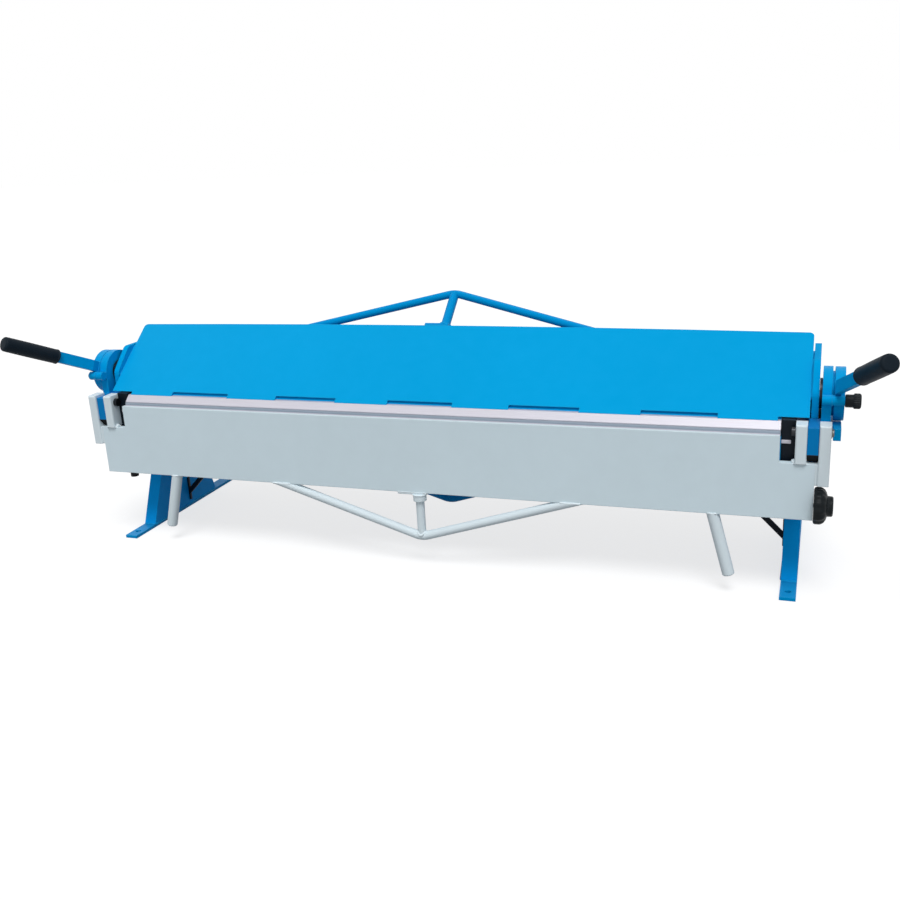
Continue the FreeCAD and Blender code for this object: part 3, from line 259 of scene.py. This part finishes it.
def make_enamel():
    """Sprayed enamel: slow shifts of tone, a fine orange peel, edges lightened by a painted highlight and by
    chips, and dust.
    """
    dust_color = (0.62, 0.60, 0.56, 1)
    slow_share, mottle_share, darkest = 0.10, 0.05, 0.925
    # Share of the edge colour: some on every edge as a painted highlight, more on chips as wear
    chip_limit, chipped, edge_lightening = 0.60, 0.30, 0.28
    flatness = 6.0
    mottle_rough, dust_rough, mottle_relief = 0.08, 0.3, 0.8
    tree, given, result = effect(
        "enamel", [("Color", "Paint", (1, 1, 1, 1)), ("Color", "Rubbed", (1, 1, 1, 1)),
                   ("Float", "Edge", 0.0), ("Float", "Gloss", 0.3), ("Float", "Dust", 0.1)],
        [("Color", "Color"), ("Float", "Roughness"), ("Float", "Height")])
    slow = noise_of(tree, scale=3.0, detail=3.0)
    mottle = noise_of(tree, scale=38.0, detail=4.0)
    peel = noise_of(tree, scale=420.0)
    flakes = noise_of(tree, scale=150.0, detail=5.0, rough=0.7)

    tone = added(tree, scaled(tree, slow, slow_share), scaled(tree, mottle, mottle_share))
    paint = shaded(tree, given["Paint"], added(tree, tone, darkest))
    chips = math_node(tree, "GREATER_THAN", flakes, chip_limit)
    # Every edge is blended towards the second colour as a painted highlight, and chipped spots more as wear
    edge_wear_and_highlight = scaled(tree, given["Edge"], added(tree, scaled(tree, chips, chipped), edge_lightening))
    painted = blend_colors(tree, edge_wear_and_highlight, paint, given["Rubbed"])

    axes = tree.nodes.new("ShaderNodeSeparateXYZ")
    shape = tree.nodes.new("ShaderNodeNewGeometry")
    feed(tree, shape.outputs["True Normal"], axes.inputs[0])
    lying = math_node(tree, "MAXIMUM", axes.outputs["Z"], 0.0)
    settled = scaled(tree, math_node(tree, "POWER", lying, flatness), mottle)
    dusty = scaled(tree, settled, given["Dust"])
    feed(tree, blend_colors(tree, dusty, painted, dust_color), result["Color"])

    rough = added(tree, given["Gloss"], scaled(tree, mottle, mottle_rough))
    feed(tree, added(tree, rough, scaled(tree, dusty, dust_rough)), result["Roughness"])
    feed(tree, added(tree, peel, scaled(tree, mottle, mottle_relief)), result["Height"])
    return tree


def make_ground_grain():
    """Surface-ground steel: fine lines along the blade, faint stains and handling marks."""
    stain_color, stain_contrast = (0.40, 0.33, 0.28, 1), 3.0
    band_share, line_rough, least_rough = 0.35, 0.25, 0.22
    tree, given, result = effect(
        "ground_grain", [("Color", "Steel", (0.8, 0.8, 0.8, 1)), ("Float", "Stain", 0.1)],
        [("Color", "Color"), ("Float", "Roughness"), ("Float", "Height")])
    lines = noise_of(tree, scale=60.0, detail=6.0, stretch=(0.35, 22.0, 22.0), rough=0.65)
    stains = noise_of(tree, scale=14.0, detail=5.0, rough=0.6)
    bands = scaled(tree, math_node(tree, "SUBTRACT", lines, 0.5), band_share)
    steel = shaded(tree, given["Steel"], added(tree, bands, 1.0))
    stained = scaled(tree, math_node(tree, "POWER", stains, stain_contrast), given["Stain"])
    feed(tree, blend_colors(tree, stained, steel, stain_color), result["Color"])
    feed(tree, added(tree, scaled(tree, lines, line_rough), least_rough), result["Roughness"])
    feed(tree, lines, result["Height"])
    return tree


def make_moulding():
    """Moulded plastic or rubber: a fine even grain, and paler where hands rub it."""
    wiped_color, worn_color = (0.16, 0.17, 0.18, 1), (0.12, 0.13, 0.14, 1)
    wiped_share, worn_share, wiped_shine = 0.045, 0.25, 0.15
    tree, given, result = effect(
        "moulding", [("Color", "Plastic", (0.02, 0.02, 0.02, 1)), ("Float", "Edge", 0.0),
                     ("Float", "Matt", 0.6), ("Float", "Grain", 900.0)],
        [("Color", "Color"), ("Float", "Roughness"), ("Float", "Height")])
    grain = noise_of(tree, scale=given["Grain"])
    wipes = noise_of(tree, scale=25.0, detail=4.0)
    wiped = blend_colors(tree, scaled(tree, wipes, wiped_share), given["Plastic"], wiped_color)
    edge_lightening = scaled(tree, given["Edge"], worn_share)
    feed(tree, blend_colors(tree, edge_lightening, wiped, worn_color), result["Color"])
    rough = math_node(tree, "SUBTRACT", given["Matt"], scaled(tree, wipes, wiped_shine))
    feed(tree, rough, result["Roughness"])
    feed(tree, grain, result["Height"])
    return tree


SOFT_EDGE = make_soft_edge()
ENAMEL = make_enamel()
GROUND_GRAIN = make_ground_grain()
MOULDING = make_moulding()


def finish_of(name, group, values, edge_radius, relief, metal=0.0, gloss_level=0.5,
              gloss_tint=(1, 1, 1)):
    """A material that takes colour, roughness and relief from one shared effect."""
    material = bpy.data.materials.new(name)
    material.use_nodes = True
    tree = material.node_tree
    surface = tree.nodes["Principled BSDF"]
    surface.inputs["Metallic"].default_value = metal
    surface.inputs["Specular IOR Level"].default_value = gloss_level
    surface.inputs["Specular Tint"].default_value = (*gloss_tint, 1)
    edge = tree.nodes.new("ShaderNodeGroup")
    edge.node_tree = SOFT_EDGE
    edge.inputs["Radius"].default_value = edge_radius
    skin = tree.nodes.new("ShaderNodeGroup")
    skin.node_tree = group
    for label, value in values.items():
        skin.inputs[label].default_value = value
    if "Edge" in skin.inputs:
        tree.links.new(edge.outputs["Edge"], skin.inputs["Edge"])
    bump = tree.nodes.new("ShaderNodeBump")
    bump.inputs["Distance"].default_value = relief
    bump.inputs["Strength"].default_value = 1.0
    tree.links.new(skin.outputs["Height"], bump.inputs["Height"])
    tree.links.new(edge.outputs["Normal"], bump.inputs["Normal"])
    tree.links.new(skin.outputs["Color"], surface.inputs["Base Color"])
    tree.links.new(skin.outputs["Roughness"], surface.inputs["Roughness"])
    tree.links.new(bump.outputs["Normal"], surface.inputs["Normal"])
    return material


def enamel(name, paint, edge_wear_and_highlight, gloss=0.36, dust=0.05, level=0.11, tint=(1, 1, 1)):
    values = {"Paint": (*paint, 1), "Rubbed": (*edge_wear_and_highlight, 1), "Gloss": gloss, "Dust": dust}
    return finish_of(name, ENAMEL, values, edge_radius=1.6 * MM, relief=0.03 * MM,
                     gloss_level=level, gloss_tint=tint)


def blue_enamel(name, paint, edge_wear_and_highlight, gloss=0.36, dust=0.02, level=0.11):
    return enamel(name, paint, edge_wear_and_highlight, gloss, dust, level, tint=(0.02, 0.50, 0.90))


def ground_steel(name, steel, stain, metal):
    return finish_of(name, GROUND_GRAIN, {"Steel": (*steel, 1), "Stain": stain},
                     edge_radius=0.5 * MM, relief=0.01 * MM, metal=metal)


def moulded(name, plastic, matt, grain, relief):
    values = {"Plastic": (*plastic, 1), "Matt": matt, "Grain": grain}
    return finish_of(name, MOULDING, values, edge_radius=1.0 * MM, relief=relief, gloss_level=0.08)


# Each enamel's second colour lightens its edges: a painted highlight, with more on chips as wear
BLUE = blue_enamel("blue_enamel", (0.0, 0.345, 0.71), (0.08, 0.58, 0.88))
DEEP_BLUE = blue_enamel("deep_blue_enamel", (0.0, 0.315, 0.69), (0.08, 0.55, 0.86))
# A darker copy of the blue that paints the shade on the hinge blocks and the bed truss
PAINTED_SHADE_BLUE = blue_enamel("painted_shade_blue_enamel", (0.004, 0.20, 0.52), (0.06, 0.45, 0.78))
# A darker copy of the blue that paints the shade on the truss rods, the clamp's truss post and the feet
ROD_SHADE_BLUE = blue_enamel("rod_painted_shade_blue_enamel", (0.0, 0.275, 0.64), (0.05, 0.50, 0.82))
# A bluer and lighter copy of the deep blue, painting the light that falls on the legs
LEG_LIT_BLUE = blue_enamel("leg_painted_light_blue_enamel", (0.002, 0.325, 0.83), (0.08, 0.55, 0.88))
END_BLUE = blue_enamel("matt_blue_enamel", (0.0, 0.335, 0.71), (0.06, 0.52, 0.84), gloss=0.62,
                       dust=0.0, level=0.02)
LIGHT_GREY = enamel("light_grey_enamel", (0.71, 0.81, 0.86), (0.90, 0.93, 0.94))
APRON_GREY = enamel("apron_grey_enamel", (0.67, 0.80, 0.865), (0.85, 0.90, 0.92), gloss=0.38)
BLACK = enamel("black_enamel", (0.004, 0.008, 0.014), (0.03, 0.04, 0.05), dust=0.02, level=0.12)
GROUND = ground_steel("ground_blade_steel", (0.60, 0.59, 0.66), stain=0.06, metal=0.12)
# Darker, bluish steel for the bed blade, painting the shade on its front face below the clamp's nose
SHADED_EDGE_STEEL = ground_steel("bed_edge_painted_shade_steel", (0.33, 0.39, 0.46), stain=0.10, metal=0.75)
DARK_STEEL = ground_steel("blackened_steel", (0.02, 0.024, 0.03), stain=0.2, metal=0.9)
BRIGHT_STEEL = ground_steel("bright_steel", (0.17, 0.17, 0.16), stain=0.12, metal=0.6)
GRIP = moulded("grip_plastic", (0.002, 0.008, 0.015), matt=0.60, grain=700.0, relief=0.12 * MM)
KNOB = moulded("knob_plastic", (0.006, 0.009, 0.011), matt=0.42, grain=1200.0, relief=0.04 * MM)
RUBBER = moulded("bumper_rubber", (0.008, 0.008, 0.009), matt=0.80, grain=500.0, relief=0.10 * MM)

FINISHES = {
    "blue_paint": BLUE, "deep_blue_paint": DEEP_BLUE, "light_grey_paint": LIGHT_GREY,
    "apron_grey_paint": APRON_GREY, "black_paint": BLACK, "ground_steel": GROUND,
    "dark_steel": DARK_STEEL, "black_plastic": KNOB, "bumper_rubber": RUBBER,
}

# Pieces whose coat differs from that of their slot, single ones and pairs: darker blues and a darker steel paint
# shade, a lighter blue paints light, and the end plates are less glossy
OWN_FINISHES = {"bed_blade": SHADED_EDGE_STEEL, "clamp_truss_post": ROD_SHADE_BLUE, "bed_truss_post": PAINTED_SHADE_BLUE}
SIDE_FINISHES = {"hinge_block": PAINTED_SHADE_BLUE, "clamp_end_plate": END_BLUE, "clamp_truss": ROD_SHADE_BLUE,
                 "bed_truss": PAINTED_SHADE_BLUE, "leg": LEG_LIT_BLUE, "foot": ROD_SHADE_BLUE}


def dress_frame():
    """Give every node of the frame the finish of its slot, or its own."""
    for row in frame["record"]["subparts"]:
        node = NODES[row["node"]]
        node.data.materials.clear()
        node.data.materials.append(FINISHES[row["material_slot"]])
    for name, material in OWN_FINISHES.items():
        NODES[name].data.materials[0] = material
    for name, material in SIDE_FINISHES.items():
        for side in ("left", "right"):
            NODES[f"{side}_{name}"].data.materials[0] = material


def piece(name, bm, material, body, crease=35):
    """Turn a bmesh into a named piece that rides on a body."""
    bmesh.ops.remove_doubles(bm, verts=bm.verts, dist=1e-6)
    bmesh.ops.recalc_face_normals(bm, faces=bm.faces)
    mesh = bpy.data.meshes.new(name)
    bm.to_mesh(mesh)
    bm.free()
    mesh.shade_smooth()
    mesh.set_sharp_from_angle(angle=math.radians(crease))
    mesh.materials.append(material)
    item = bpy.data.objects.new(name, mesh)
    bpy.context.scene.collection.objects.link(item)
    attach(item, body)
    return item


def join_rings(bm, rings, closed=False):
    """Skin a row of rings of points, and cap its two ends unless it closes on itself."""
    pairs = list(zip(rings, rings[1:]))
    if closed:
        pairs.append((rings[-1], rings[0]))
    around = len(rings[0])
    for low, high in pairs:
        for step in range(around):
            after = (step + 1) % around
            bm.faces.new((low[step], low[after], high[after], high[step]))
    if not closed:
        bm.faces.new(rings[0][::-1])
        bm.faces.new(rings[-1])


def turned(profile, start, axis, steps=48, flutes=0, depth=0.0, fluted=()):
    """Revolve (radius, along) points about an axis; fluted names the points that wave."""
    bm = bmesh.new()
    turn = Vector(axis).to_track_quat("Z", "Y").to_matrix()
    rings = []
    for index, (radius, along) in enumerate(profile):
        ring = []
        for step in range(steps):
            angle = 2 * math.pi * step / steps
            reach = radius + (depth * math.cos(flutes * angle) if index in fluted else 0)
            spot = Vector((reach * math.cos(angle), reach * math.sin(angle), along))
            ring.append(bm.verts.new(Vector(start) + turn @ spot))
        rings.append(ring)
    join_rings(bm, rings)
    return bm


def rounded_block(low, high, round_by):
    """A block between two corners, with its edges rounded."""
    bm = bmesh.new()
    made = bmesh.ops.create_cube(bm, size=1.0)["verts"]
    centre = (Vector(low) + Vector(high)) / 2
    size = Vector(high) - Vector(low)
    for vert in made:
        vert.co = centre + Vector(a * b for a, b in zip(vert.co, size))
    edges = list({edge for vert in made for edge in vert.link_edges})
    bmesh.ops.bevel(bm, geom=edges, offset=round_by, segments=3, affect="EDGES")
    return bm


def circle(centre, axis, radius, steps=24):
    turn = Vector(axis).to_track_quat("Z", "Y").to_matrix()
    angles = [2 * math.pi * step / steps for step in range(steps)]
    return [Vector(centre) + turn @ Vector((radius * math.cos(angle), radius * math.sin(angle), 0))
            for angle in angles]


def level_box(low, high, z):
    """The four corners of a box seen from above, at one height."""
    return [(low[0], low[1], z), (high[0], low[1], z), (high[0], high[1], z),
            (low[0], high[1], z)]


def bead(bm, path, radius, closed):
    """A weld bead along a path: overlapping scallops laid one after another."""
    pitch = radius * 0.55
    swollen, drawn_in, tail = 1.10, 0.94, 0.45
    points = [Vector(p) for p in path]
    if closed:
        points.append(points[0])
    line = []
    for start, end in zip(points, points[1:]):
        count = max(1, round((end - start).length / pitch))
        line += [start.lerp(end, step / count) for step in range(count)]
    if not closed:
        line.append(points[-1])
    last = len(line) - 1
    rings = []
    for index, spot in enumerate(line):
        before = line[index - 1] if index or closed else spot
        after = line[(index + 1) % len(line)] if index < last or closed else spot
        size = radius * (swollen if index % 3 == 0 else drawn_in)
        if not closed and index in (0, last):
            size = radius * tail
        ring = circle(spot, (after - before).normalized(), size, steps=8)
        rings.append([bm.verts.new(corner) for corner in ring])
    join_rings(bm, rings, closed)


def run(points, radius):
    """A bead with two ends, its radius in millimetres."""
    return points, radius * MM, False


def loop(points, radius):
    """A bead that closes on itself, its radius in millimetres."""
    return points, radius * MM, True


def weld(name, beads, material, body):
    """One piece made of runs and loops of weld bead."""
    bm = bmesh.new()
    for path, radius, closed in beads:
        bead(bm, path, radius, closed)
    return piece(name, bm, material, body, crease=60)


def along_arm(splay):
    """The way a lever arm points, turned by a splay towards the right."""
    return Vector((math.sin(splay), -math.cos(splay) * math.cos(LEVER_TILT),
                   math.cos(splay) * math.sin(LEVER_TILT)))


def make_grips():
    """Slip-on hand grips with a rolled lip, faint rings and a rounded closed end."""
    radius, full = 14.8 * MM, 113.5 * MM
    bore = radius * 0.55
    lip, end, end_inset, end_steps = 1.0 * MM, 5.0 * MM, 0.4 * MM, 6
    rings, ridge, dip, swell = 26, 0.35 * MM, 0.55 * MM, 0.25 * MM
    right_slide = 14.0 * MM
    for side, sign in SIDES:
        ahead = along_arm(sign * ARM_SPLAY)
        slid = right_slide if side == "right" else 0.0
        length = full - slid
        start = middle(f"{side}_lever_grip") + ahead * (slid - full / 2)
        profile = [(bore, 0), (radius - lip, 0), (radius, lip), (radius, 3 * lip),
                   (radius - lip / 2, 3.6 * lip)]
        for ring in range(rings):
            share = ring / (rings - 1)
            depth = (dip if ring % 2 else ridge) - swell * math.sin(math.pi * share)
            profile.append((radius - depth, 4.5 * lip + (length - end - 5.5 * lip) * share))
        for step in range(1, end_steps + 1):
            angle = math.pi / 2 * step / end_steps
            profile.append((radius - end_inset - end + end * math.cos(angle),
                            length - end + end * math.sin(angle)))
        bm = turned(profile, start, ahead, steps=56)
        grip = piece(f"{side}_grip_sleeve", bm, GRIP, f"{side}_lever", crease=50)
        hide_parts(f"{side}_lever_grip")


# Both knobs have the same threaded stud
STUD_RADIUS = 3.5 * MM
STUD_LENGTH = 14 * MM


def knob_seat(node):
    """The middle of a knob's back face, its length from there and its radius."""
    low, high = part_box(node)
    centre = (low + high) / 2
    face = low.x + STUD_LENGTH
    return (face, centre.y, centre.z), high.x - face, (high.z - low.z) / 2


def make_lock_knob():
    """The lock knob, with a plain neck and a knurled rim."""
    start, length, full = knob_seat("stop_knob")
    neck, rim = full - 2.0 * MM, full - 0.6 * MM
    profile = [(STUD_RADIUS, -STUD_LENGTH), (STUD_RADIUS, 0), (full - 3.0 * MM, 0), (neck, 1 * MM),
               (neck, 12.0 * MM), (rim, 13.2 * MM), (rim, length - 2.2 * MM),
               (neck, length - 0.4 * MM), (full - 4.0 * MM, length), (2.0 * MM, length),
               (1.6 * MM, length - 1.2 * MM)]
    rim_points = (5, 6)
    bm = turned(profile, start, (1, 0, 0), steps=96, flutes=24, depth=0.5 * MM, fluted=rim_points)
    knob = piece("lock_knob_knurled", bm, KNOB, "lock_knob", crease=40)
    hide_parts("stop_knob")


def make_angle_stop_knob():
    """The lobed hand knob of the angle stop, with a round hub on its face."""
    start, length, full = knob_seat("angle_stop_knob")
    radius, hub, rim = full - 0.8 * MM, 17 * MM, 21 * MM
    dome = ((-4.0, 0), (-1.0, 1.2), (0, 3.5), (0, 10.5), (-1.0, 13.5), (-3.5, 17.0), (-7.5, 19.8),
            (-11.5, 21.0))
    profile = [(STUD_RADIUS, -STUD_LENGTH), (STUD_RADIUS, 0)]
    profile += [(radius + inset * MM, along * MM) for inset, along in dome]
    profile += [(hub + 0.8 * MM, rim + 0.2 * MM), (hub, rim + 1.2 * MM),
                (hub - 0.3 * MM, length - 2.0 * MM), (hub - 2.0 * MM, length - 0.3 * MM),
                (hub - 4.5 * MM, length), (7 * MM, length - 0.4 * MM),
                (6 * MM, length - 1.2 * MM)]
    lobed_points = (3, 4, 5, 6, 7)
    bm = turned(profile, start, (1, 0, 0), steps=112, flutes=14, depth=0.7 * MM, fluted=lobed_points)
    knob = piece("angle_stop_knob_lobed", bm, KNOB, "angle_knob", crease=40)
    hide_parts("angle_stop_knob")


# The pull handles hang from the apron's underside and splay outward
HANDLE_OFFSET = 531 * MM
HANDLE_SETBACK = 3 * MM
HANDLE_RADIUS = 10.5 * MM
HANDLE_SPLAY = math.radians(14.75)


def handle_seam(sign, front, back, under):
    """The line where a slanting round handle meets the underside of the apron."""
    centre = sign * HANDLE_OFFSET
    steps = 8
    outline = []
    for step in range(steps + 1):
        y = front + (back - front) * step / steps
        aside = y - (HINGE.y - HANDLE_SETBACK)
        half = math.sqrt(HANDLE_RADIUS ** 2 - aside ** 2) / math.cos(HANDLE_SPLAY)
        outline.append((half, y))
    return [(centre + half, y, under) for half, y in outline] + [
        (centre - half, y, under) for half, y in reversed(outline)]


def truss_saddle(centre_y):
    """The line where the round post stands in the bend of the apron's truss rod."""
    post, rod, bend, steps = 8.0 * MM, 8.4 * MM, 40 * MM, 32
    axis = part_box("left_apron_truss")[0].z + rod
    seam = []
    for step in range(steps):
        angle = 2 * math.pi * step / steps
        x, y = post * math.cos(angle), post * math.sin(angle)
        rise = bend - math.sqrt(bend ** 2 - x ** 2) + math.sqrt(rod ** 2 - y ** 2)
        seam.append((x, centre_y + y, axis + rise))
    return seam


def make_apron_welds():
    """Beads at the lugs, bars, handles and the truss of the apron."""
    plate_low, plate_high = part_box("apron_plate")
    front, back, under = plate_low.y, plate_high.y, plate_low.z
    centre_y = (front + back) / 2
    bar_pad = 4 * MM
    rod_foot = (268 * MM, 306 * MM)
    boss, post = 12.6 * MM, 8.2 * MM
    beads = []
    for side, sign in SIDES:
        low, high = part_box(f"{side}_apron_lug")
        beads.append(loop(level_box((low.x, front), (high.x, back), low.z), 1.8))
        corner = inner_and_outer(f"{side}_apron_lug", sign)[0] - sign * 1.5 * MM
        beads.append(run([(corner, y, low.z + 1.5 * MM) for y in (front + 1 * MM, back - 1 * MM)],
                         4.0))
        seam = sign * (plate_high.x + bar_pad)
        seam_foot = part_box(f"{side}_apron_bar")[0].z + 2 * MM
        for y in (front, back):
            beads.append(run([(seam, y, seam_foot), (seam, y, low.z - 2 * MM)], 1.3))
        beads.append(loop(handle_seam(sign, front, back, under), 1.6))
        for y in (front, back):
            beads.append(run([(sign * x, y, under) for x in rod_foot], 2.0))
    low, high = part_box("apron_truss_post")
    pad_face = under - 4 * MM
    boss_face = pad_face - 12 * MM
    beads.append(loop(circle((0, centre_y, pad_face), (0, 0, 1), boss), 1.4))
    beads.append(loop(circle((0, centre_y, boss_face), (0, 0, 1), post), 1.5))
    beads.append(loop(level_box((low.x, front + 0.5 * MM), (high.x, back - 0.5 * MM), under), 1.2))
    beads.append(loop(truss_saddle(centre_y), 2.3))
    weld("apron_weld_beads", beads, LIGHT_GREY, "apron")


# The clamping beam's front plate rises from its foot at this angle. Its truss rod runs over
# it from a bend on the middle line to a foot near each end, in millimetres up the plate.
SLOPE = math.radians(38.9)
SLOPE_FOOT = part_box("clamp_front_plate")[0]
UP_SLOPE = Vector((0, math.cos(SLOPE), math.sin(SLOPE)))
INTO_SLOPE = Vector((0, math.sin(SLOPE), -math.cos(SLOPE)))
ROD_BEND = 287.3
ROD_FOOT = 153.08
ROD_HALF = 420
ROD_DEPTH = 12.7


def on_slope(x, distance, depth):
    """A point up the front plate and below its outer face, given in millimetres."""
    spot = (UP_SLOPE * distance + INTO_SLOPE * depth) * MM
    return (x * MM, SLOPE_FOOT.y + spot.y, SLOPE_FOOT.z + spot.z)


def make_clamp_welds():
    """Beads that join the clamping beam's front plate, end plates, rods and post."""
    end_line, end_depth = 679.0, 2.0
    stitches = ((300, 325), (350, 375), (392, 416))
    rod_edge, stitch_depth = 5.7, 7.6
    boss_foot, boss_top = 199.7, 203.8
    boss, post = 12.7 * MM, 9.6 * MM
    beads = []
    for side, sign in SIDES:
        beads.append(run([on_slope(sign * end_line, distance, end_depth)
                          for distance in (50, 90, 130)], 2.0))
        for stitch in stitches:
            for offset in (-rod_edge, rod_edge):
                path = []
                for x in stitch:
                    rod = ROD_BEND - x * (ROD_BEND - ROD_FOOT) / ROD_HALF
                    path.append(on_slope(sign * x, rod + offset, stitch_depth))
                beads.append(run(path, 1.8))
    beads.append(loop(circle(on_slope(0, boss_foot, ROD_DEPTH), UP_SLOPE, boss), 1.3))
    beads.append(loop(circle(on_slope(0, boss_top, ROD_DEPTH), UP_SLOPE, post), 1.4))
    weld("clamp_weld_beads", beads, BLUE, "clamp")


def make_frame_welds():
    """Beads at the legs, feet, pivot brackets, stops and the bed truss."""
    web_thickness = 5.5 * MM
    flange_top = -31.4 * MM
    stop_bar, post = 8.7 * MM, 8.2 * MM
    stop = middle("lever_stops")
    beads = []
    for side, sign in SIDES:
        low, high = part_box(f"{side}_leg")
        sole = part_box(f"{side}_foot")[1].z
        inner, outer = inner_and_outer(f"{side}_leg", sign)
        web = inner + sign * web_thickness
        rear = high.y - 3 * MM
        beads.append(run([(inner, low.y + 4 * MM, sole), (inner, rear, sole)], 2.0))
        beads.append(run([(web, low.y + 12 * MM, sole), (web, rear, sole)], 2.2))
        beads.append(run([(inner, low.y, sole), (outer, low.y, sole)], 2.0))
        beads.append(run([(inner, flange_top, high.z), (outer, flange_top, high.z)], 2.0))
        low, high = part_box(f"{side}_pivot_bracket")
        beads.append(loop(level_box((low.x, low.y), (high.x, high.y - 3 * MM), low.z), 2.0))
        face = sign * (SIDE_FACE + 0.1 * MM)
        beads.append(loop(circle((face, stop.y, stop.z), (1, 0, 0), stop_bar), 0.9))
    low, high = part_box("bed_truss_post")
    beads.append(loop(circle((0, (low.y + high.y) / 2, high.z), (0, 0, 1), post), 1.6))
    weld("frame_weld_beads", beads, DEEP_BLUE, "root")


def make_lever_welds():
    """A bead round each arm where it enters the rim of its disc."""
    rim, steps = 44.5 * MM, 6
    arm_bottom, arm_height, arm_thickness = -12.7 * MM, 22 * MM, 9 * MM
    forward = along_arm(0)
    upward = Vector((0, math.sin(LEVER_TILT), math.cos(LEVER_TILT)))
    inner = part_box("right_lever_arm")[0].x
    heights = [arm_bottom + arm_height * step / steps for step in range(steps + 1)]
    corners = [(inner, height) for height in heights]
    corners += [(inner + arm_thickness, height) for height in reversed(heights)]
    for side, sign in SIDES:
        path = []
        for x, height in corners:
            reach = math.sqrt(rim ** 2 - height ** 2)
            spot = SHAFT + forward * reach + upward * height
            path.append((sign * x, spot.y, spot.z))
        weld(f"{side}_lever_weld_bead", [loop(path, 1.4)], DEEP_BLUE, f"{side}_lever")


def make_pin_rings():
    """Snap rings and turned ends on the tails of the hinge pins."""
    bar_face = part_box("right_apron_bar")[1].x
    profile = [(2.0 * MM, 0), (8.4 * MM, 0.1 * MM), (8.6 * MM, 0.5 * MM), (8.4 * MM, 1.2 * MM),
               (6.1 * MM, 1.3 * MM), (6.1 * MM, 3.0 * MM), (5.2 * MM, 3.9 * MM),
               (1.5 * MM, 4.0 * MM)]
    for side, sign in SIDES:
        bm = turned(profile, (sign * bar_face, HINGE.y, HINGE.z), (sign, 0, 0), steps=40)
        piece(f"{side}_pin_snap_ring", bm, BRIGHT_STEEL, "apron", crease=40)


def make_notch_strips():
    """Small ground strips on the faces of the end blocks, seen in the apron's notches."""
    inset, width, proud, sunk = 0.2 * MM, 15.5 * MM, 2.2 * MM, 0.5 * MM
    bottom, top = 269 * MM, 275 * MM
    for side, sign in SIDES:
        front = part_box(f"{side}_end_block")[0].y
        inner = inner_and_outer(f"{side}_end_block", sign)[0] + sign * inset
        near, far = sorted((inner, inner + sign * width))
        bm = rounded_block((near, front - proud, bottom), (far, front + sunk, top), 0.6 * MM)
        piece(f"{side}_notch_strip", bm, GROUND, "root", crease=40)


def make_disc_spacer():
    """A washer that fills the gap between the left side plate and its lever disc."""
    width, radius = 3.2 * MM, 43.6 * MM
    start = (-SIDE_FACE - 0.2 * MM, SHAFT.y, SHAFT.z)
    bm = turned([(radius, 0), (radius, width)], start, (-1, 0, 0), steps=72)
    piece("left_disc_spacer", bm, DEEP_BLUE, "left_lever")


def make_end_dark_pieces():
    """Black pads that paint the shade under the hinge blocks' chamfers, and black strips on the bed beside the end
    plates.
    """
    shade_pad_outline = ((-196.2, 257.5), (-196.2, 256.0), (-183.6, 242.4), (-183.0, 243.6))
    shade_pad_inset = 0.3 * MM
    bed_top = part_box("bed_plate")[1].z
    strip_rear, strip_sunk, strip_height = -10 * MM, 0.1 * MM, 7.5 * MM
    strip_gap, strip_outer, strip_setback = 0.7 * MM, 695.3 * MM, 1 * MM
    for side, sign in SIDES:
        low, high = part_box(f"{side}_hinge_block")
        # A black sheet under each block's chamfer paints the shade in the gap there
        bm = bmesh.new()
        ends = []
        for x in (low.x + shade_pad_inset, high.x - shade_pad_inset):
            ends.append([bm.verts.new((x, y * MM, z * MM)) for y, z in shade_pad_outline])
        join_rings(bm, ends)
        piece(f"{side}_block_shade_pad", bm, RUBBER, "root")
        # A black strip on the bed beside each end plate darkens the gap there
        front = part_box(f"{side}_clamp_end_plate")[0].y + strip_setback
        strip_inner = inner_and_outer(f"{side}_clamp_end_plate", sign)[1] + sign * strip_gap
        near, far = sorted((strip_inner, sign * strip_outer))
        bm = rounded_block((near, front, bed_top - strip_sunk),
                           (far, strip_rear, bed_top + strip_height), 0.5 * MM)
        piece(f"{side}_dark_strip", bm, RUBBER, "root")


set_camera()
set_light()
lay_floor()
dress_frame()
make_grips()
make_lock_knob()
make_angle_stop_knob()
make_apron_welds()
make_clamp_welds()
make_frame_welds()
make_lever_welds()
make_pin_rings()
make_notch_strips()
make_disc_spacer()
make_end_dark_pieces()
